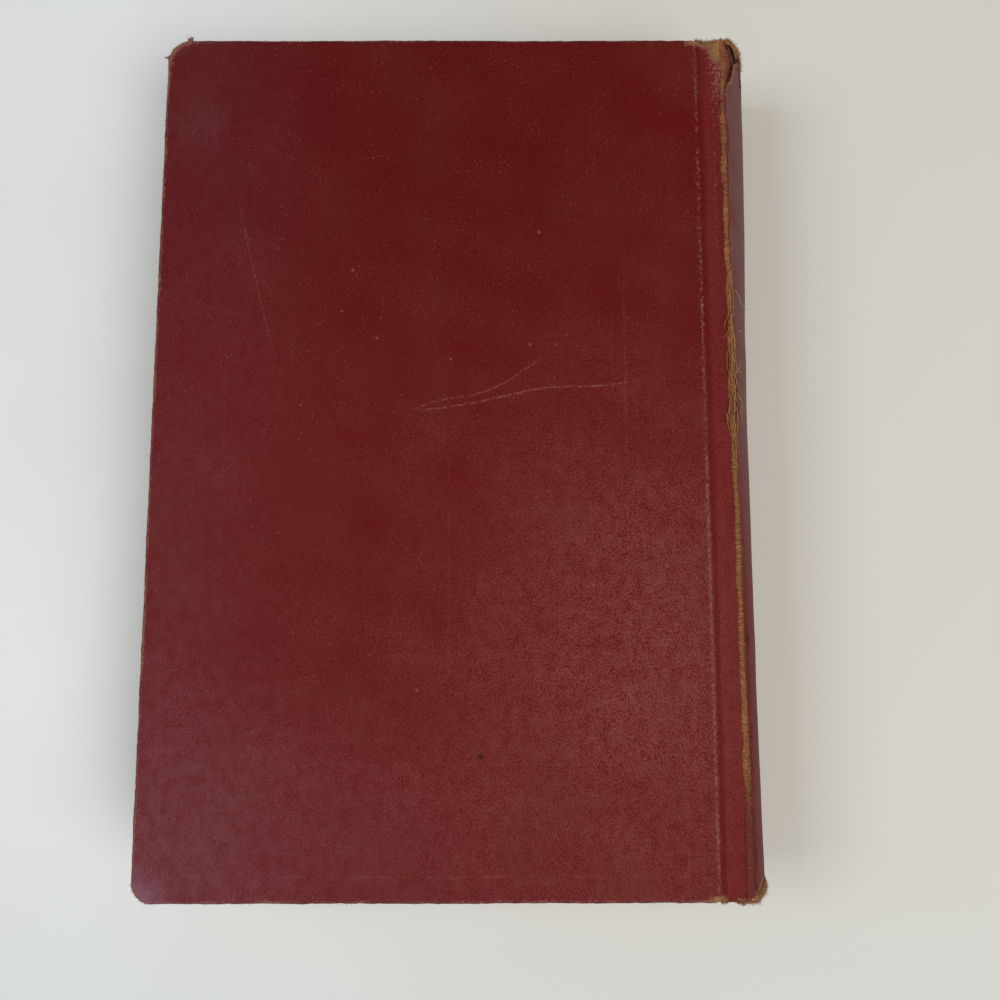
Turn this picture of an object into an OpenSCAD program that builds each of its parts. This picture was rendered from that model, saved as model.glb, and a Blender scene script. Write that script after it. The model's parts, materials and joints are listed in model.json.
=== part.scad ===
// A cloth-covered hardback, lying on its front board with the back board uppermost.
// X runs from the fore edge to the spine, Y from tail to head and Z up. The origin is the
// centre of the book's footprint on the table.

/* [Leaves] */
// Height of a leaf, tail to head
page_h = 203; // [160:1:260]
// Width of a leaf, fold to fore edge
page_w = 137; // [105:0.5:190]
// Thickness of all the leaves with both flyleaves, unswollen
block_t = 24; // [16:0.5:40]
// Thickness of each endpaper leaf
endpaper_t = 0.2; // [0.15:0.05:0.3]
// Number of sewn sections
sections = 16; // [10:1:24]
// How far the fold of a section stands out from the glue between sections
fold_depth = 0.5; // [0.2:0.1:0.8]

/* [Boards] */
// Thickness of each greyboard
board_t = 2.8; // [2.2:0.1:3.6]
// Overhang of the boards past the leaves at head, tail and fore edge
square = 3.3; // [2:0.1:5]
// Radius of the bumped fore corner at the head, in plan
head_corner_r = 6; // [3:0.1:8]
// Radius of the bumped fore corner at the tail, in plan
tail_corner_r = 4.4; // [3:0.1:8]
// Rounding that wear has given the long edges of a board
edge_r = 0.8; // [0.4:0.1:1]

/* [Cloth] */
// Thickness of the book cloth
cloth_t = 0.4; // [0.3:0.05:0.5]
// Width of cloth turned in round the boards
turn_in = 15; // [10:0.5:20]
// Depth and width of the mitre between two turned-in edges
mitre = 0.15; // [0.1:0.05:0.2]
// Width of the joint, board edge to spine ridge
joint_w = 7; // [6:0.25:9]
// Bend radius of the cloth over the ridge
ridge_r = 1.6; // [1.4:0.1:2]
// Bend radius of the cloth at the foot of the joint, beside the board
foot_r = 2; // [1:0.1:3]
// How far the ridge lies below the face of the board
ridge_drop = 0.2; // [0.1:0.05:0.4]
// Length of the split that runs down the back joint from the head
split_l = 13; // [6:0.5:30]
// Width of the split at the head
split_w = 2.4; // [0.4:0.1:3]

/* [Blind frame] */
// Distance of the blind frame from the edges of the cover
frame_in = 5.8; // [4:0.1:12]
// Width of the pressed line
frame_w = 0.6; // [0.4:0.1:1]
// Depth of the pressed line
frame_d = 0.12; // [0.05:0.01:0.2]

/* [Spine] */
// How far the rounded spine stands out past its ridges
spine_round = 5.5; // [4:0.25:9]
// Thickness of the card inlay
inlay_t = 0.8; // [0.5:0.05:1.2]
// Depth of the hollow between lining and inlay
hollow = 0.9; // [0.7:0.05:1.5]
// Thickness of the kraft lining
lining_t = 0.2; // [0.15:0.05:0.4]
// Thickness of the gauze, and of the headband tape beside it
mull_t = 0.3; // [0.2:0.05:0.4]
// Width of gauze pasted down on each board
mull_flange = 25; // [15:1:40]
// Distance of the gauze from head and tail of the leaves
mull_in = 14; // [12.5:0.5:20]
// Diameter of the headband's bead
bead_d = 1.8; // [1.2:0.1:2.4]
// Length of headband tape glued down the spine
band_tape = 11; // [6:0.5:12]

/* [Clearances] */
// Air between the leaves and a closed cover
cover_gap = 0.2; // [0.1:0.05:0.4]
// Slack left in the joint where it is nipped on to the shoulder
nip_gap = 1.1; // [0.3:0.05:1.4]
// Gap at the fold that lets a cover swing
hinge_gap = 0.3; // [0.25:0.05:0.5]
// Film of paste between layers that curve together
paste = 0.06; // [0.04:0.01:0.1]

/* [Hidden] */
$fn = 96;
far = 400;

// Heights are measured from the middle of the leaves. The front half mirrors the back half.
leaf_top = block_t / 2;
turn_bottom = leaf_top + cover_gap + endpaper_t;
board_bottom = turn_bottom + cloth_t;
board_top = board_bottom + board_t;
cover_top = board_top + cloth_t;
half_t = cover_top;

// The ridge and the spine are arcs of one smooth curve down the middle of the cloth.
ridge_z = cover_top - ridge_drop - cloth_t / 2;
groove_z = leaf_top + cover_gap + endpaper_t + mull_t + nip_gap + 1.5 * cloth_t;
shoulder_h = ridge_z - groove_z;
corners = [tail_corner_r, head_corner_r];
board_corners = [for (r = corners) r - cloth_t];
spine_k = spine_round - ridge_r;
spine_s = ridge_z - ridge_r;
ridge_reach = (spine_s * spine_s + spine_k * spine_k) / (2 * spine_k);
spine_radius = ridge_reach + ridge_r;
spine_angle = asin(spine_s / ridge_reach);
spine_x = spine_k - ridge_reach;
blend_angle = 8;
inlay_angle = spine_angle - 1.5;

// Radii of the layers behind the leaves, from the cloth inwards.
inlay_out = spine_radius - cloth_t / 2 - paste;
inlay_in = inlay_out - inlay_t;
lining_out = inlay_in - hollow;
lining_in = lining_out - lining_t;
gauze_out = lining_in - paste;
gauze_in = gauze_out - mull_t;
block_r = gauze_in - paste;
shoulder_angle = asin((leaf_top + shoulder_h) / block_r);
section_angle = 2 * shoulder_angle / sections;
fold_r = block_r * sin(section_angle / 2) / (1 + sin(section_angle / 2));
lining_angle = shoulder_angle - 2;

// Widths, with X zero at the ridge until the whole book is centred.
board_x = -joint_w;
leaf_fore = spine_x + sqrt(block_r * block_r - leaf_top * leaf_top) - page_w;
board_fore = leaf_fore - square;
cover_fore = board_fore - cloth_t;
cover_out = spine_round + cloth_t / 2;
centre_x = (cover_fore + cover_out) / 2;
board_h = page_h + 2 * square;
cover_h = board_h + 2 * cloth_t;
round_x = board_x - edge_r;

// Swing axis of each cover, on the outside of the ridge.
hinge_z = cover_top - ridge_drop + hinge_gap / 2;
fold_x = -hinge_gap / 2;

function unit(v) = v / norm(v);
function reversed(list) = [for (i = [len(list) - 1 : -1 : 0]) list[i]];
function last(list) = list[len(list) - 1];

// A line moved sideways by d, to its left as it runs.
function beside(line, d) = [
    for (i = [0 : len(line) - 1])
        let (along = unit(line[min(i + 1, len(line) - 1)] - line[max(i - 1, 0)]))
            line[i] + d * [-along[1], along[0]]
];

// Points on an arc from angle a to angle b.
function arc(centre, r, a, b, steps) = [
    for (i = [0 : steps])
        let (angle = a + (b - a) * i / steps) centre + r * [cos(angle), sin(angle)]
];

// Over the board's edge and at the foot of the joint the cloth bends by two arcs that meet
// at one slope. Their sum and the drop between them give that slope and the groove's place.
wrap_r = edge_r + cloth_t / 2;
edge_slope = asin(1 - (board_top + cloth_t / 2 - groove_z) / (wrap_r + foot_r));
groove_x = round_x + (wrap_r + foot_r) * cos(edge_slope);

// The nipped joint rises from the groove to the ridge as half a cosine wave.
function rise(x) = shoulder_h * (1 - cos(180 * (x - groove_x) / -groove_x)) / 2;
function joint_line(x_end, z_start, steps = 20) = [
    for (i = [1 : steps])
        let (x = groove_x + (x_end - groove_x) * i / steps) [x, z_start + rise(x)]
];

// Middle of the cover cloth: over the board's edge, down into the groove, up to the ridge.
cloth_line = concat(
    arc([round_x, board_top - edge_r], wrap_r, 90, edge_slope, 16),
    arc([groove_x, groove_z + foot_r], foot_r, 180 + edge_slope, 270, 12),
    joint_line(fold_x, groove_z)
);

// Middle of the cloth turned in at head and tail: under the board, then against the joint.
turn_line = concat(
    [[round_x, turn_bottom + cloth_t / 2], [board_x + cloth_t / 2, turn_bottom + cloth_t / 2]],
    joint_line(fold_x - cloth_t, groove_z - cloth_t)
);

// Middle of the gauze: under the board, then against the joint cloth.
mull_line = concat(
    [
        [board_x - mull_flange, board_bottom - mull_t / 2 - paste],
        [board_x, board_bottom - mull_t / 2 - paste]
    ],
    joint_line(fold_x - cloth_t, groove_z - (cloth_t + mull_t) / 2 - paste)
);

// Middle of the endpaper: under the turned-in cloth, board and joint alike.
paper_line = concat(
    [
        [round_x, turn_bottom - endpaper_t / 2],
        [board_x + cloth_t, turn_bottom - endpaper_t / 2]
    ],
    joint_line(fold_x - 2 * cloth_t, groove_z - 1.5 * cloth_t - endpaper_t / 2 - 2 * paste)
);

// Sheet of thickness t whose middle follows a line.
module sheet(line, t) {
    polygon(concat(beside(line, t / 2), reversed(beside(line, -t / 2))));
}

// Drawn in X and Z, and run along Y from y0 to y1.
module along_y(y0, y1) {
    translate([0, y1, 0])
        rotate([90, 0, 0])
            linear_extrude(height = y1 - y0)
                children();
}

// The same shape run along both the head and the tail, depth deep.
module at_head_and_tail(depth) {
    along_y(cover_h / 2 - depth, cover_h / 2) children();
    along_y(-cover_h / 2, depth - cover_h / 2) children();
}

// Drawn as radius and height towards the head, and swept about the axis of the spine's curve.
module about_spine(angle) {
    translate([spine_x, 0, 0])
        rotate([-90, 0, 0])
            rotate([0, 0, -angle])
                rotate_extrude(angle = 2 * angle)
                    children();
}

// A layer round the back of the leaves, h high.
module spine_layer(r_in, r_out, h, angle) {
    about_spine(angle)
        translate([r_in, -h / 2])
            square([r_out - r_in, h]);
}

// Half of a board's edge: full height h, rounded at its outer side by r.
module edge_profile(depth, h, r) {
    square([depth - r, h]);
    translate([0, r])
        square([depth, h - 2 * r]);
    for (y = [r, h - r])
        translate([depth - r, y])
            circle(r);
}

// Slab with its three outer edges rounded by r, and its fore corners rounded in plan by
// their own radii, tail corner first.
module worn_slab(fore, spine, height, bottom, top, radii, r) {
    thick = top - bottom;
    strip = min(radii);
    reach = [for (c = radii) height / 2 - c];
    translate([0, 0, bottom]) {
        translate([fore + strip, -reach[0], 0])
            cube([spine - fore - strip, reach[0] + reach[1], thick]);
        translate([fore + strip, -reach[0], 0])
            rotate([90, 0, 180])
                linear_extrude(height = reach[0] + reach[1])
                    edge_profile(strip, thick, r);
        for (end = [0, 1])
            mirror([0, 1 - end, 0])
                translate([fore + radii[end], 0, 0]) {
                    run = spine - fore - radii[end];
                    cube([run, height / 2 - strip, thick]);
                    translate([0, height / 2 - strip, 0])
                        rotate([90, 0, 90])
                            linear_extrude(height = run)
                                edge_profile(strip, thick, r);
                    translate([0, reach[end], 0])
                        rotate([0, 0, 90])
                            rotate_extrude(angle = 90)
                                edge_profile(radii[end], thick, r);
                }
    }
}

// Greyboard, with the rounding that its spine edge gets under the cloth.
module board() {
    color("tan")
        difference() {
            worn_slab(board_fore, board_x, board_h, board_bottom, board_top,
                      board_corners, edge_r);
            along_y(-board_h, board_h)
                difference() {
                    translate([round_x, board_top - edge_r])
                        square(2 * edge_r);
                    translate([round_x, board_top - edge_r])
                        circle(edge_r);
                }
        }
}

// Lines of the blind frame, pressed into the face of the cover.
module blind_frame() {
    span_x = round_x - cover_fore - 2 * frame_in;
    span_y = cover_h - 2 * frame_in;
    translate([cover_fore + frame_in, -span_y / 2, cover_top - frame_d])
        difference() {
            cube([span_x, span_y, cloth_t]);
            translate([frame_w, frame_w, -cloth_t])
                cube([span_x - 2 * frame_w, span_y - 2 * frame_w, 3 * cloth_t]);
        }
}

// Mitres where two turned-in edges meet, from each fore corner to the window.
module mitres() {
    for (end = [0, 1])
        mirror([0, end, 0])
            translate([cover_fore, cover_h / 2, turn_bottom])
                rotate([0, 0, -45])
                    translate([0, -mitre / 2, -cloth_t])
                        cube([1.5 * turn_in, mitre, cloth_t + mitre]);
}

// Cloth round the board, with the window that its turned-in edges leave.
module board_wrap() {
    window_x = cover_fore + turn_in;
    difference() {
        worn_slab(cover_fore, board_x, cover_h, turn_bottom, cover_top,
                  corners, edge_r + cloth_t);
        worn_slab(board_fore, board_x + cloth_t, board_h, board_bottom, board_top,
                  board_corners, edge_r);
        translate([window_x, turn_in - cover_h / 2, turn_bottom - cloth_t])
            cube([far, cover_h - 2 * turn_in, cloth_t * 2 + edge_r]);
        translate([round_x, -cover_h, 0])
            cube([far, 2 * cover_h, far]);
        blind_frame();
        mitres();
    }
}

// Cloth of one cover in one piece: board wrap, groove, and joint as far as the ridge.
module cover_cloth() {
    color([0.43, 0.13, 0.13]) {
        board_wrap();
        along_y(-cover_h / 2, cover_h / 2)
            sheet(cloth_line, cloth_t);
        at_head_and_tail(turn_in)
            sheet(turn_line, cloth_t);
        at_head_and_tail(cloth_t)
            intersection() {
                polygon(concat(cloth_line, reversed(turn_line)));
                translate([round_x, 0])
                    square([groove_x - round_x, far]);
            }
    }
}

// Gauze flange that ties a cover to the leaves.
module mull_half() {
    color("beige")
        along_y(mull_in - page_h / 2, page_h / 2 - mull_in)
            sheet(mull_line, mull_t);
}

// Endpaper pasted down on a board. It steps off the turned-in cloth on to the board.
module pastedown() {
    inner_x = cover_fore + turn_in;
    pad_x = board_x - mull_flange - paste;
    pad_y = cover_h - 2 * turn_in - 2 * paste;
    plate_fore = leaf_fore;
    color("wheat") {
        difference() {
            translate([plate_fore, -page_h / 2, turn_bottom - endpaper_t])
                cube([round_x - plate_fore, page_h, endpaper_t]);
            translate([inner_x + paste + endpaper_t, endpaper_t - pad_y / 2, 0])
                cube([pad_x - inner_x - paste - 2 * endpaper_t, pad_y - 2 * endpaper_t, far]);
        }
        difference() {
            translate([inner_x + paste, -pad_y / 2, turn_bottom - endpaper_t])
                cube([pad_x - inner_x - paste, pad_y, cloth_t + endpaper_t]);
            translate([inner_x + paste + endpaper_t, endpaper_t - pad_y / 2, 0])
                cube([pad_x - inner_x - paste - 2 * endpaper_t, pad_y - 2 * endpaper_t,
                      board_bottom - endpaper_t]);
        }
        along_y(-page_h / 2, page_h / 2)
            sheet(paper_line, endpaper_t);
    }
}

// Free endpaper on the outermost leaf, from the foot of the shoulder to the fore edge.
module flyleaf() {
    color("wheat")
        translate([leaf_fore, -page_h / 2, leaf_top - endpaper_t])
            cube([groove_x - leaf_fore, page_h, endpaper_t]);
}

// The leaves in section: flat at the fore edge, swelling into the backed shoulders.
function half_outline() = concat(
    [[leaf_fore, leaf_top - endpaper_t], [groove_x, leaf_top - endpaper_t], [groove_x, leaf_top]],
    joint_line(0, leaf_top),
    [[spine_round, leaf_top + shoulder_h]]
);
function mirrored(line) = [for (p = reversed(line)) [p[0], -p[1]]];

// Rounded back of the sections: one fold beside the next round the spine's curve.
module section_folds() {
    circle(block_r - fold_depth);
    for (i = [0 : sections - 1])
        rotate(section_angle * (i + 0.5) - shoulder_angle)
            translate([block_r - fold_r, 0])
                circle(fold_r, $fn = 32);
}

// The sewn leaves: rounded at the spine, backed into shoulders, hollow at the fore edge.
module leaves() {
    color("antiquewhite")
        along_y(-page_h / 2, page_h / 2)
            difference() {
                intersection() {
                    polygon(concat(half_outline(), mirrored(half_outline())));
                    union() {
                        translate([spine_x, 0])
                            section_folds();
                        translate([spine_x - far, -far / 2])
                            square(far);
                    }
                }
                translate([spine_x - page_w, 0])
                    circle(block_r);
            }
}

// Headband: a bead on the end of the leaves and its tape down their back.
module band() {
    bead_angle = asin((leaf_top - bead_d) / block_r);
    color("ivory")
        about_spine(bead_angle) {
            translate([gauze_out - bead_d / 2, page_h / 2 + bead_d / 2])
                circle(bead_d / 2, $fn = 32);
            translate([gauze_in, page_h / 2 - band_tape])
                square([mull_t, band_tape + bead_d / 2]);
        }
}

// Folded cloth over the end of the spine in section: r is the cloth's middle radius and
// filler the thickness that it is folded round.
module folded_section(r, filler) {
    outer = cloth_t + filler / 2;
    middle = r + cloth_t / 2 - outer;
    end = cover_h / 2 - outer;
    translate([r - cloth_t / 2, -end])
        square([cloth_t, 2 * end]);
    for (way = [0, 1])
        mirror([0, way]) {
            translate([middle - outer, cover_h / 2 - turn_in])
                square([cloth_t, turn_in - outer]);
            translate([middle, end])
                difference() {
                    circle(outer, $fn = 48);
                    if (filler > 0)
                        circle(filler / 2, $fn = 48);
                    translate([-outer, -2 * outer])
                        square(2 * outer);
                }
        }
}

// Cloth over one ridge, from the spine's curve up to the fold. It starts back inside the
// spine's sweep, so that both make one piece.
module ridge_cloth() {
    open = asin((hinge_gap / 2) / (ridge_r + cloth_t / 2));
    from = spine_angle - blend_angle;
    translate([0, 0, spine_s])
        rotate([90, 0, 0])
            rotate([0, 0, from])
                rotate_extrude(angle = 90 - open - from)
                    folded_section(ridge_r, 0);
}

// Wedge that the split takes out of the spine cloth at the head of the back joint.
module split() {
    linear_extrude(height = half_t)
        polygon([
            [-ridge_r, cover_h / 2 - split_l],
            [hinge_gap / 2, cover_h / 2 - split_l],
            [hinge_gap / 2 + split_w, cover_h / 2 + 1],
            [-ridge_r, cover_h / 2 + 1]
        ]);
}

// Spine cloth, turned in over the inlay at head and tail.
module spine_covering() {
    color([0.36, 0.17, 0.17])
        difference() {
            union() {
                about_spine(spine_angle) folded_section(spine_radius, inlay_t + 2 * paste);
                ridge_cloth();
                mirror([0, 0, 1]) ridge_cloth();
            }
            split();
        }
}

// Puts a piece drawn for the back half in place. The front half is its mirror image.
module back_half() {
    translate([-centre_x, 0, half_t]) children();
}

module front_half() {
    translate([-centre_x, 0, half_t]) mirror([0, 0, 1]) children();
}

back_half() leaves();  // text_block
back_half() flyleaf();  // back_flyleaf
front_half() flyleaf();  // front_flyleaf
back_half() color("beige")  // spine_mull
        spine_layer(gauze_in, gauze_out, page_h - 2 * mull_in, lining_angle);
back_half() color("peru")  // spine_lining
        spine_layer(lining_in, lining_out, page_h, lining_angle);
back_half() band();  // headband
back_half() mirror([0, 1, 0]) band();  // tailband
back_half() color("burlywood")  // spine_inlay
        spine_layer(inlay_in, inlay_out, cover_h - 2 * cloth_t - inlay_t - 2 * paste, inlay_angle);
back_half() spine_covering();  // spine_cloth
back_half() board();  // back_board
back_half() cover_cloth();  // back_cover_cloth
back_half() mull_half();  // back_mull_flange
back_half() pastedown();  // back_pastedown
front_half() board();  // front_board
front_half() cover_cloth();  // front_cover_cloth
front_half() mull_half();  // front_mull_flange
front_half() pastedown();  // front_pastedown
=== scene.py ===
"""An old hardback in rubbed red book cloth, dressed over the frame of its solids.

Sizes are in millimetres here until a mesh is made, and X runs from the fore edge to the spine,
Y from tail to head and Z up. The back cover lies uppermost. Each shape of the back cover is
worked out once, and the front cover's is the same shape turned over about the book's middle.
"""

import json
import logging
import math
from dataclasses import dataclass
from enum import Enum

import bpy
import numpy as np
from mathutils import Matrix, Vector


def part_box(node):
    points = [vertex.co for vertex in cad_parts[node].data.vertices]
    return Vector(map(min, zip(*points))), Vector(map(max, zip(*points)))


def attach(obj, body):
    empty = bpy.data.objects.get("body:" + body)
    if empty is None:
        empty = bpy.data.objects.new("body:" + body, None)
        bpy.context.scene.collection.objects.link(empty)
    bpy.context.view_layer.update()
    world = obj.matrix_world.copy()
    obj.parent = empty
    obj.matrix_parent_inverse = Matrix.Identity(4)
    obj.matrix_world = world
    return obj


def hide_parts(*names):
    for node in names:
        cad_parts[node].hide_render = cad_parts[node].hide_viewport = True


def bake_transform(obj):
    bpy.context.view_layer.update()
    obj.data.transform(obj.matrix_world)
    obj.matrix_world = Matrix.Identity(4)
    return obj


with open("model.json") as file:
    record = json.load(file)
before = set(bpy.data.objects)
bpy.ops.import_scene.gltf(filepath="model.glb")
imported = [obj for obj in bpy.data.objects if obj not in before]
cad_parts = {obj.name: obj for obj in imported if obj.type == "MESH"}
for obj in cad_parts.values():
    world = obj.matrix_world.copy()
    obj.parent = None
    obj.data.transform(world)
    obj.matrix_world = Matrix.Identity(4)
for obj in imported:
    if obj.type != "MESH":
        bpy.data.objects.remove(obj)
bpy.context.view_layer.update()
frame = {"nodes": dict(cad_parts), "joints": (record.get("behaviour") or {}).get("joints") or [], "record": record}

LOG = logging.getLogger("book")
MM = 0.001
CLOTH_WALL = 0.3
Socket = bpy.types.NodeSocket
Colour = tuple[float, float, float]


class Body(str, Enum):
    """The bodies of the frame that pieces ride on."""

    BLOCK = "book_block"
    BACK = "back_cover"
    FRONT = "front_cover"


class Side(Enum):
    """The two covers of the book."""

    BACK = "back"
    FRONT = "front"

    @property
    def body(self) -> Body:
        """The body that this cover is."""
        return Body.BACK if self is Side.BACK else Body.FRONT

    @property
    def seed(self) -> int:
        """Start of this cover's own random numbers."""
        return 11 if self is Side.BACK else 23


def box_mm(node: str) -> np.ndarray:
    """Lowest and highest corner of a node of the frame.

    Args:
        node: The node's name.

    Returns:
        A 2 by 3 array in millimetres.
    """
    return np.array([list(corner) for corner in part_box(node)]) / MM


@dataclass(frozen=True)
class Layout:
    """The book's own measures, read from the boxes of the frame's nodes."""

    fore: float
    board_edge: float
    head: float
    top: float
    inside: float
    hinge_x: float
    spine_out: float
    leaf_fore: float
    leaf_head: float
    leaf_top: float
    cloth: float = 0.4
    edge: float = 1.2
    head_corner: float = 6.0
    tail_corner: float = 5.2
    turn_in: float = 15.0
    groove: float = 1.15
    bend: float = 2.0
    foot: float = 4.5
    ridge_drop: float = 0.2
    ridge: float = 1.8
    frame_in: float = 5.8

    @classmethod
    def from_frame(cls) -> "Layout":
        """Reads the measures of the book as it was packed.

        Returns:
            The layout that every class below builds from.
        """
        board, cloth = box_mm("back_board"), box_mm("back_cover_cloth")
        spine, leaves = box_mm("spine_cloth"), box_mm("text_block")
        flyleaf = box_mm("back_flyleaf")
        hinge = next(j for j in frame["joints"] if j["name"] == "back_joint")
        return cls(fore=cloth[0, 0], board_edge=board[1, 0], head=cloth[1, 1],
                   top=cloth[1, 2], inside=cloth[0, 2], hinge_x=hinge["pos_m"][0] / MM,
                   spine_out=spine[1, 0], leaf_fore=leaves[0, 0], leaf_head=leaves[1, 1],
                   leaf_top=flyleaf[1, 2])

    @property
    def middle(self) -> float:
        """Height of the book's middle plane."""
        return self.top / 2

    @property
    def thick(self) -> float:
        """Thickness of a covered board."""
        return self.top - self.inside

    @property
    def round_x(self) -> float:
        """Where the cover's face begins to round down into the joint."""
        return self.board_edge + self.cloth - self.edge

    @property
    def slope(self) -> float:
        """Angle at which the cloth's bend over the board meets its bend into the groove."""
        return math.asin(1 - self.groove / (self.bend + self.foot))

    @property
    def groove_x(self) -> float:
        """The lowest line of the joint's groove."""
        return self.round_x + (self.bend + self.foot) * math.cos(self.slope)

    @property
    def rise(self) -> float:
        """Height of a ridge's centre over the middle plane."""
        return self.middle - self.ridge_drop - self.ridge

    @property
    def reach(self) -> float:
        """Distance of the ridge's centre from the centre of the spine's curve."""
        stand = self.spine_out - self.hinge_x - self.ridge
        return (self.rise ** 2 + stand ** 2) / (2 * stand)

    @property
    def spine_x(self) -> float:
        """Centre of the spine's curve."""
        return self.spine_out - self.ridge - self.reach

    @property
    def spine_angle(self) -> float:
        """Half the angle that the spine's curve turns through, in degrees."""
        return math.degrees(math.asin(self.rise / self.reach))


def waves(x: np.ndarray, y: np.ndarray, size: float, seed: int, count: int = 20) -> np.ndarray:
    """Smooth random hills: the mean of plane waves with random headings and starts.

    Args:
        x: First coordinate of each point.
        y: Second coordinate of each point.
        size: Distance from one hill to the next.
        seed: Start of the random numbers.
        count: Number of waves.

    Returns:
        Heights of about 1 at most, one for each point.
    """
    rng = np.random.default_rng(seed)
    turn, start = rng.uniform(0, 2 * np.pi, (2, count))
    pace = 2 * np.pi / size * rng.uniform(0.6, 1.6, count)
    x, y = np.broadcast_arrays(x, y)
    total = np.zeros(x.shape)
    for a, k, s in zip(turn, pace, start):
        total += np.sin(k * (np.cos(a) * x + np.sin(a) * y) + s)
    return total / math.sqrt(count)


def smooth(value: np.ndarray, low: float, high: float) -> np.ndarray:
    """Smooth step: 0 at low, 1 at high, eased between them."""
    t = np.clip((np.asarray(value, float) - low) / (high - low), 0, 1)
    return t * t * (3 - 2 * t)


def bell(value: np.ndarray, width: float) -> np.ndarray:
    """Bell curve: 1 where the value is 0, and near 0 beyond about twice the width."""
    return np.exp(-(value / width) ** 2)


def arc(centre: tuple[float, float], radius: float, start: float, end: float,
        steps: int) -> np.ndarray:
    """Points on a circle's arc, between two angles in degrees.

    Args:
        centre: The circle's centre.
        radius: Its radius.
        start: First angle.
        end: Last angle.
        steps: Number of steps between them.

    Returns:
        Array of steps + 1 points.
    """
    a = np.radians(np.linspace(start, end, steps + 1))
    return np.stack([centre[0] + radius * np.cos(a), centre[1] + radius * np.sin(a)], -1)


def lattice(rows: int, cols: int, flip: bool = False, ring: bool = False) -> np.ndarray:
    """Quads of a grid whose points run along rows.

    Args:
        rows: Number of rows of points.
        cols: Number of points in a row.
        flip: Turns every face over.
        ring: Joins the last point of each row to its first.

    Returns:
        Array of quads, four point numbers each.
    """
    i, j = np.meshgrid(np.arange(rows - 1), np.arange(cols if ring else cols - 1), indexing="ij")
    k = (j + 1) % cols
    quads = np.stack([i * cols + j, i * cols + k, (i + 1) * cols + k, (i + 1) * cols + j], -1)
    quads = quads.reshape(-1, 4)
    return quads[:, ::-1] if flip else quads


class Piece:
    """Collects the points and faces of one mesh, and makes the object."""

    def __init__(self, name: str) -> None:
        """Starts an empty piece.

        Args:
            name: The object's name.
        """
        self.name = name
        self.points: list[np.ndarray] = []
        self.quads: list[np.ndarray] = []
        self.values: dict[str, list[np.ndarray]] = {}
        self.count = 0

    def add(self, points: np.ndarray, quads: np.ndarray, **values: np.ndarray | float) -> None:
        """Adds a surface.

        Args:
            points: Its points, in any shape that ends in three coordinates.
            quads: Its faces, which number the points of this surface alone.
            **values: For each attribute, a number or one number a point.
        """
        flat = np.asarray(points, float).reshape(-1, 3)
        self.points.append(flat)
        self.quads.append(quads + self.count)
        for name, value in values.items():
            whole = np.broadcast_to(np.ravel(value).astype(float), len(flat))
            self.values.setdefault(name, []).append(whole)
        self.count += len(flat)

    def make(self, turned: bool = False, middle: float = 0.0) -> bpy.types.Object:
        """Makes the object. Points that lie together become one, quads that lose a corner
        become triangles, and faces that lose their area go. A piece turned over is pressed
        flat where it would pass below the book's underside.

        Args:
            turned: Turns the piece over about the book's middle plane.
            middle: Height of that plane.

        Returns:
            The new object, in metres, with its origin at the frame's.
        """
        points, quads = np.concatenate(self.points), np.concatenate(self.quads)
        if turned:
            points = points * [1, 1, -1] + [0, 0, 2 * middle]
            points[:, 2] = np.maximum(points[:, 2], 0)
            quads = quads[:, ::-1]
        _, first, same = np.unique(np.round(points * 1e4).astype(np.int64), axis=0,
                                   return_index=True, return_inverse=True)
        quads = same.ravel()[quads]
        keep = quads != np.roll(quads, 1, axis=1)
        whole = keep.sum(1) > 2
        whole &= (quads[:, 0] != quads[:, 2]) & (quads[:, 1] != quads[:, 3])
        quads, keep = quads[whole], keep[whole]
        corners, total = quads[keep], keep.sum(1)
        mesh = bpy.data.meshes.new(self.name)
        mesh.vertices.add(len(first))
        mesh.vertices.foreach_set("co", (points[first] * MM).astype(np.float32).ravel())
        mesh.loops.add(len(corners))
        mesh.loops.foreach_set("vertex_index", corners.astype(np.int32))
        mesh.polygons.add(len(total))
        mesh.polygons.foreach_set("loop_start", (np.cumsum(total) - total).astype(np.int32))
        mesh.polygons.foreach_set("use_smooth", np.ones(len(total), bool))
        mesh.update(calc_edges=True)
        mesh.validate()
        for name, parts in self.values.items():
            layer = mesh.attributes.new(name, "FLOAT", "POINT")
            layer.data.foreach_set("value", np.concatenate(parts)[first].astype(np.float32))
        thing = bpy.data.objects.new(self.name, mesh)
        bpy.context.scene.collection.objects.link(thing)
        return thing


def thicken(sheet: bpy.types.Object, even: bool = False) -> bpy.types.Object:
    """Gives a sheet of cloth its thickness, inwards from its outer face.

    Args:
        sheet: The sheet.
        even: Keeps the thickness the same round sharp bends.

    Returns:
        The same sheet.
    """
    wall = sheet.modifiers.new("wall", "SOLIDIFY")
    wall.thickness, wall.offset, wall.use_even_offset = CLOTH_WALL * MM, -1, even
    return sheet


def dress(thing: bpy.types.Object, material: bpy.types.Material, slot: str,
          body: Body | None = None, *replaced: str) -> bpy.types.Object:
    """Gives a piece its finish, its body and the nodes that it stands for.

    Args:
        thing: The piece.
        material: Its finish.
        slot: The record's slot of that finish; not used.
        body: The body that it rides on, unless it is blended.
        *replaced: Nodes of the frame that it replaces.

    Returns:
        The same piece.
    """
    thing.data.materials.clear()
    thing.data.materials.append(material)
    if body:
        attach(thing, body.value)
    if replaced:
        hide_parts(*replaced)
    LOG.info("%s: %d faces", thing.name, len(thing.data.polygons))
    return thing


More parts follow.
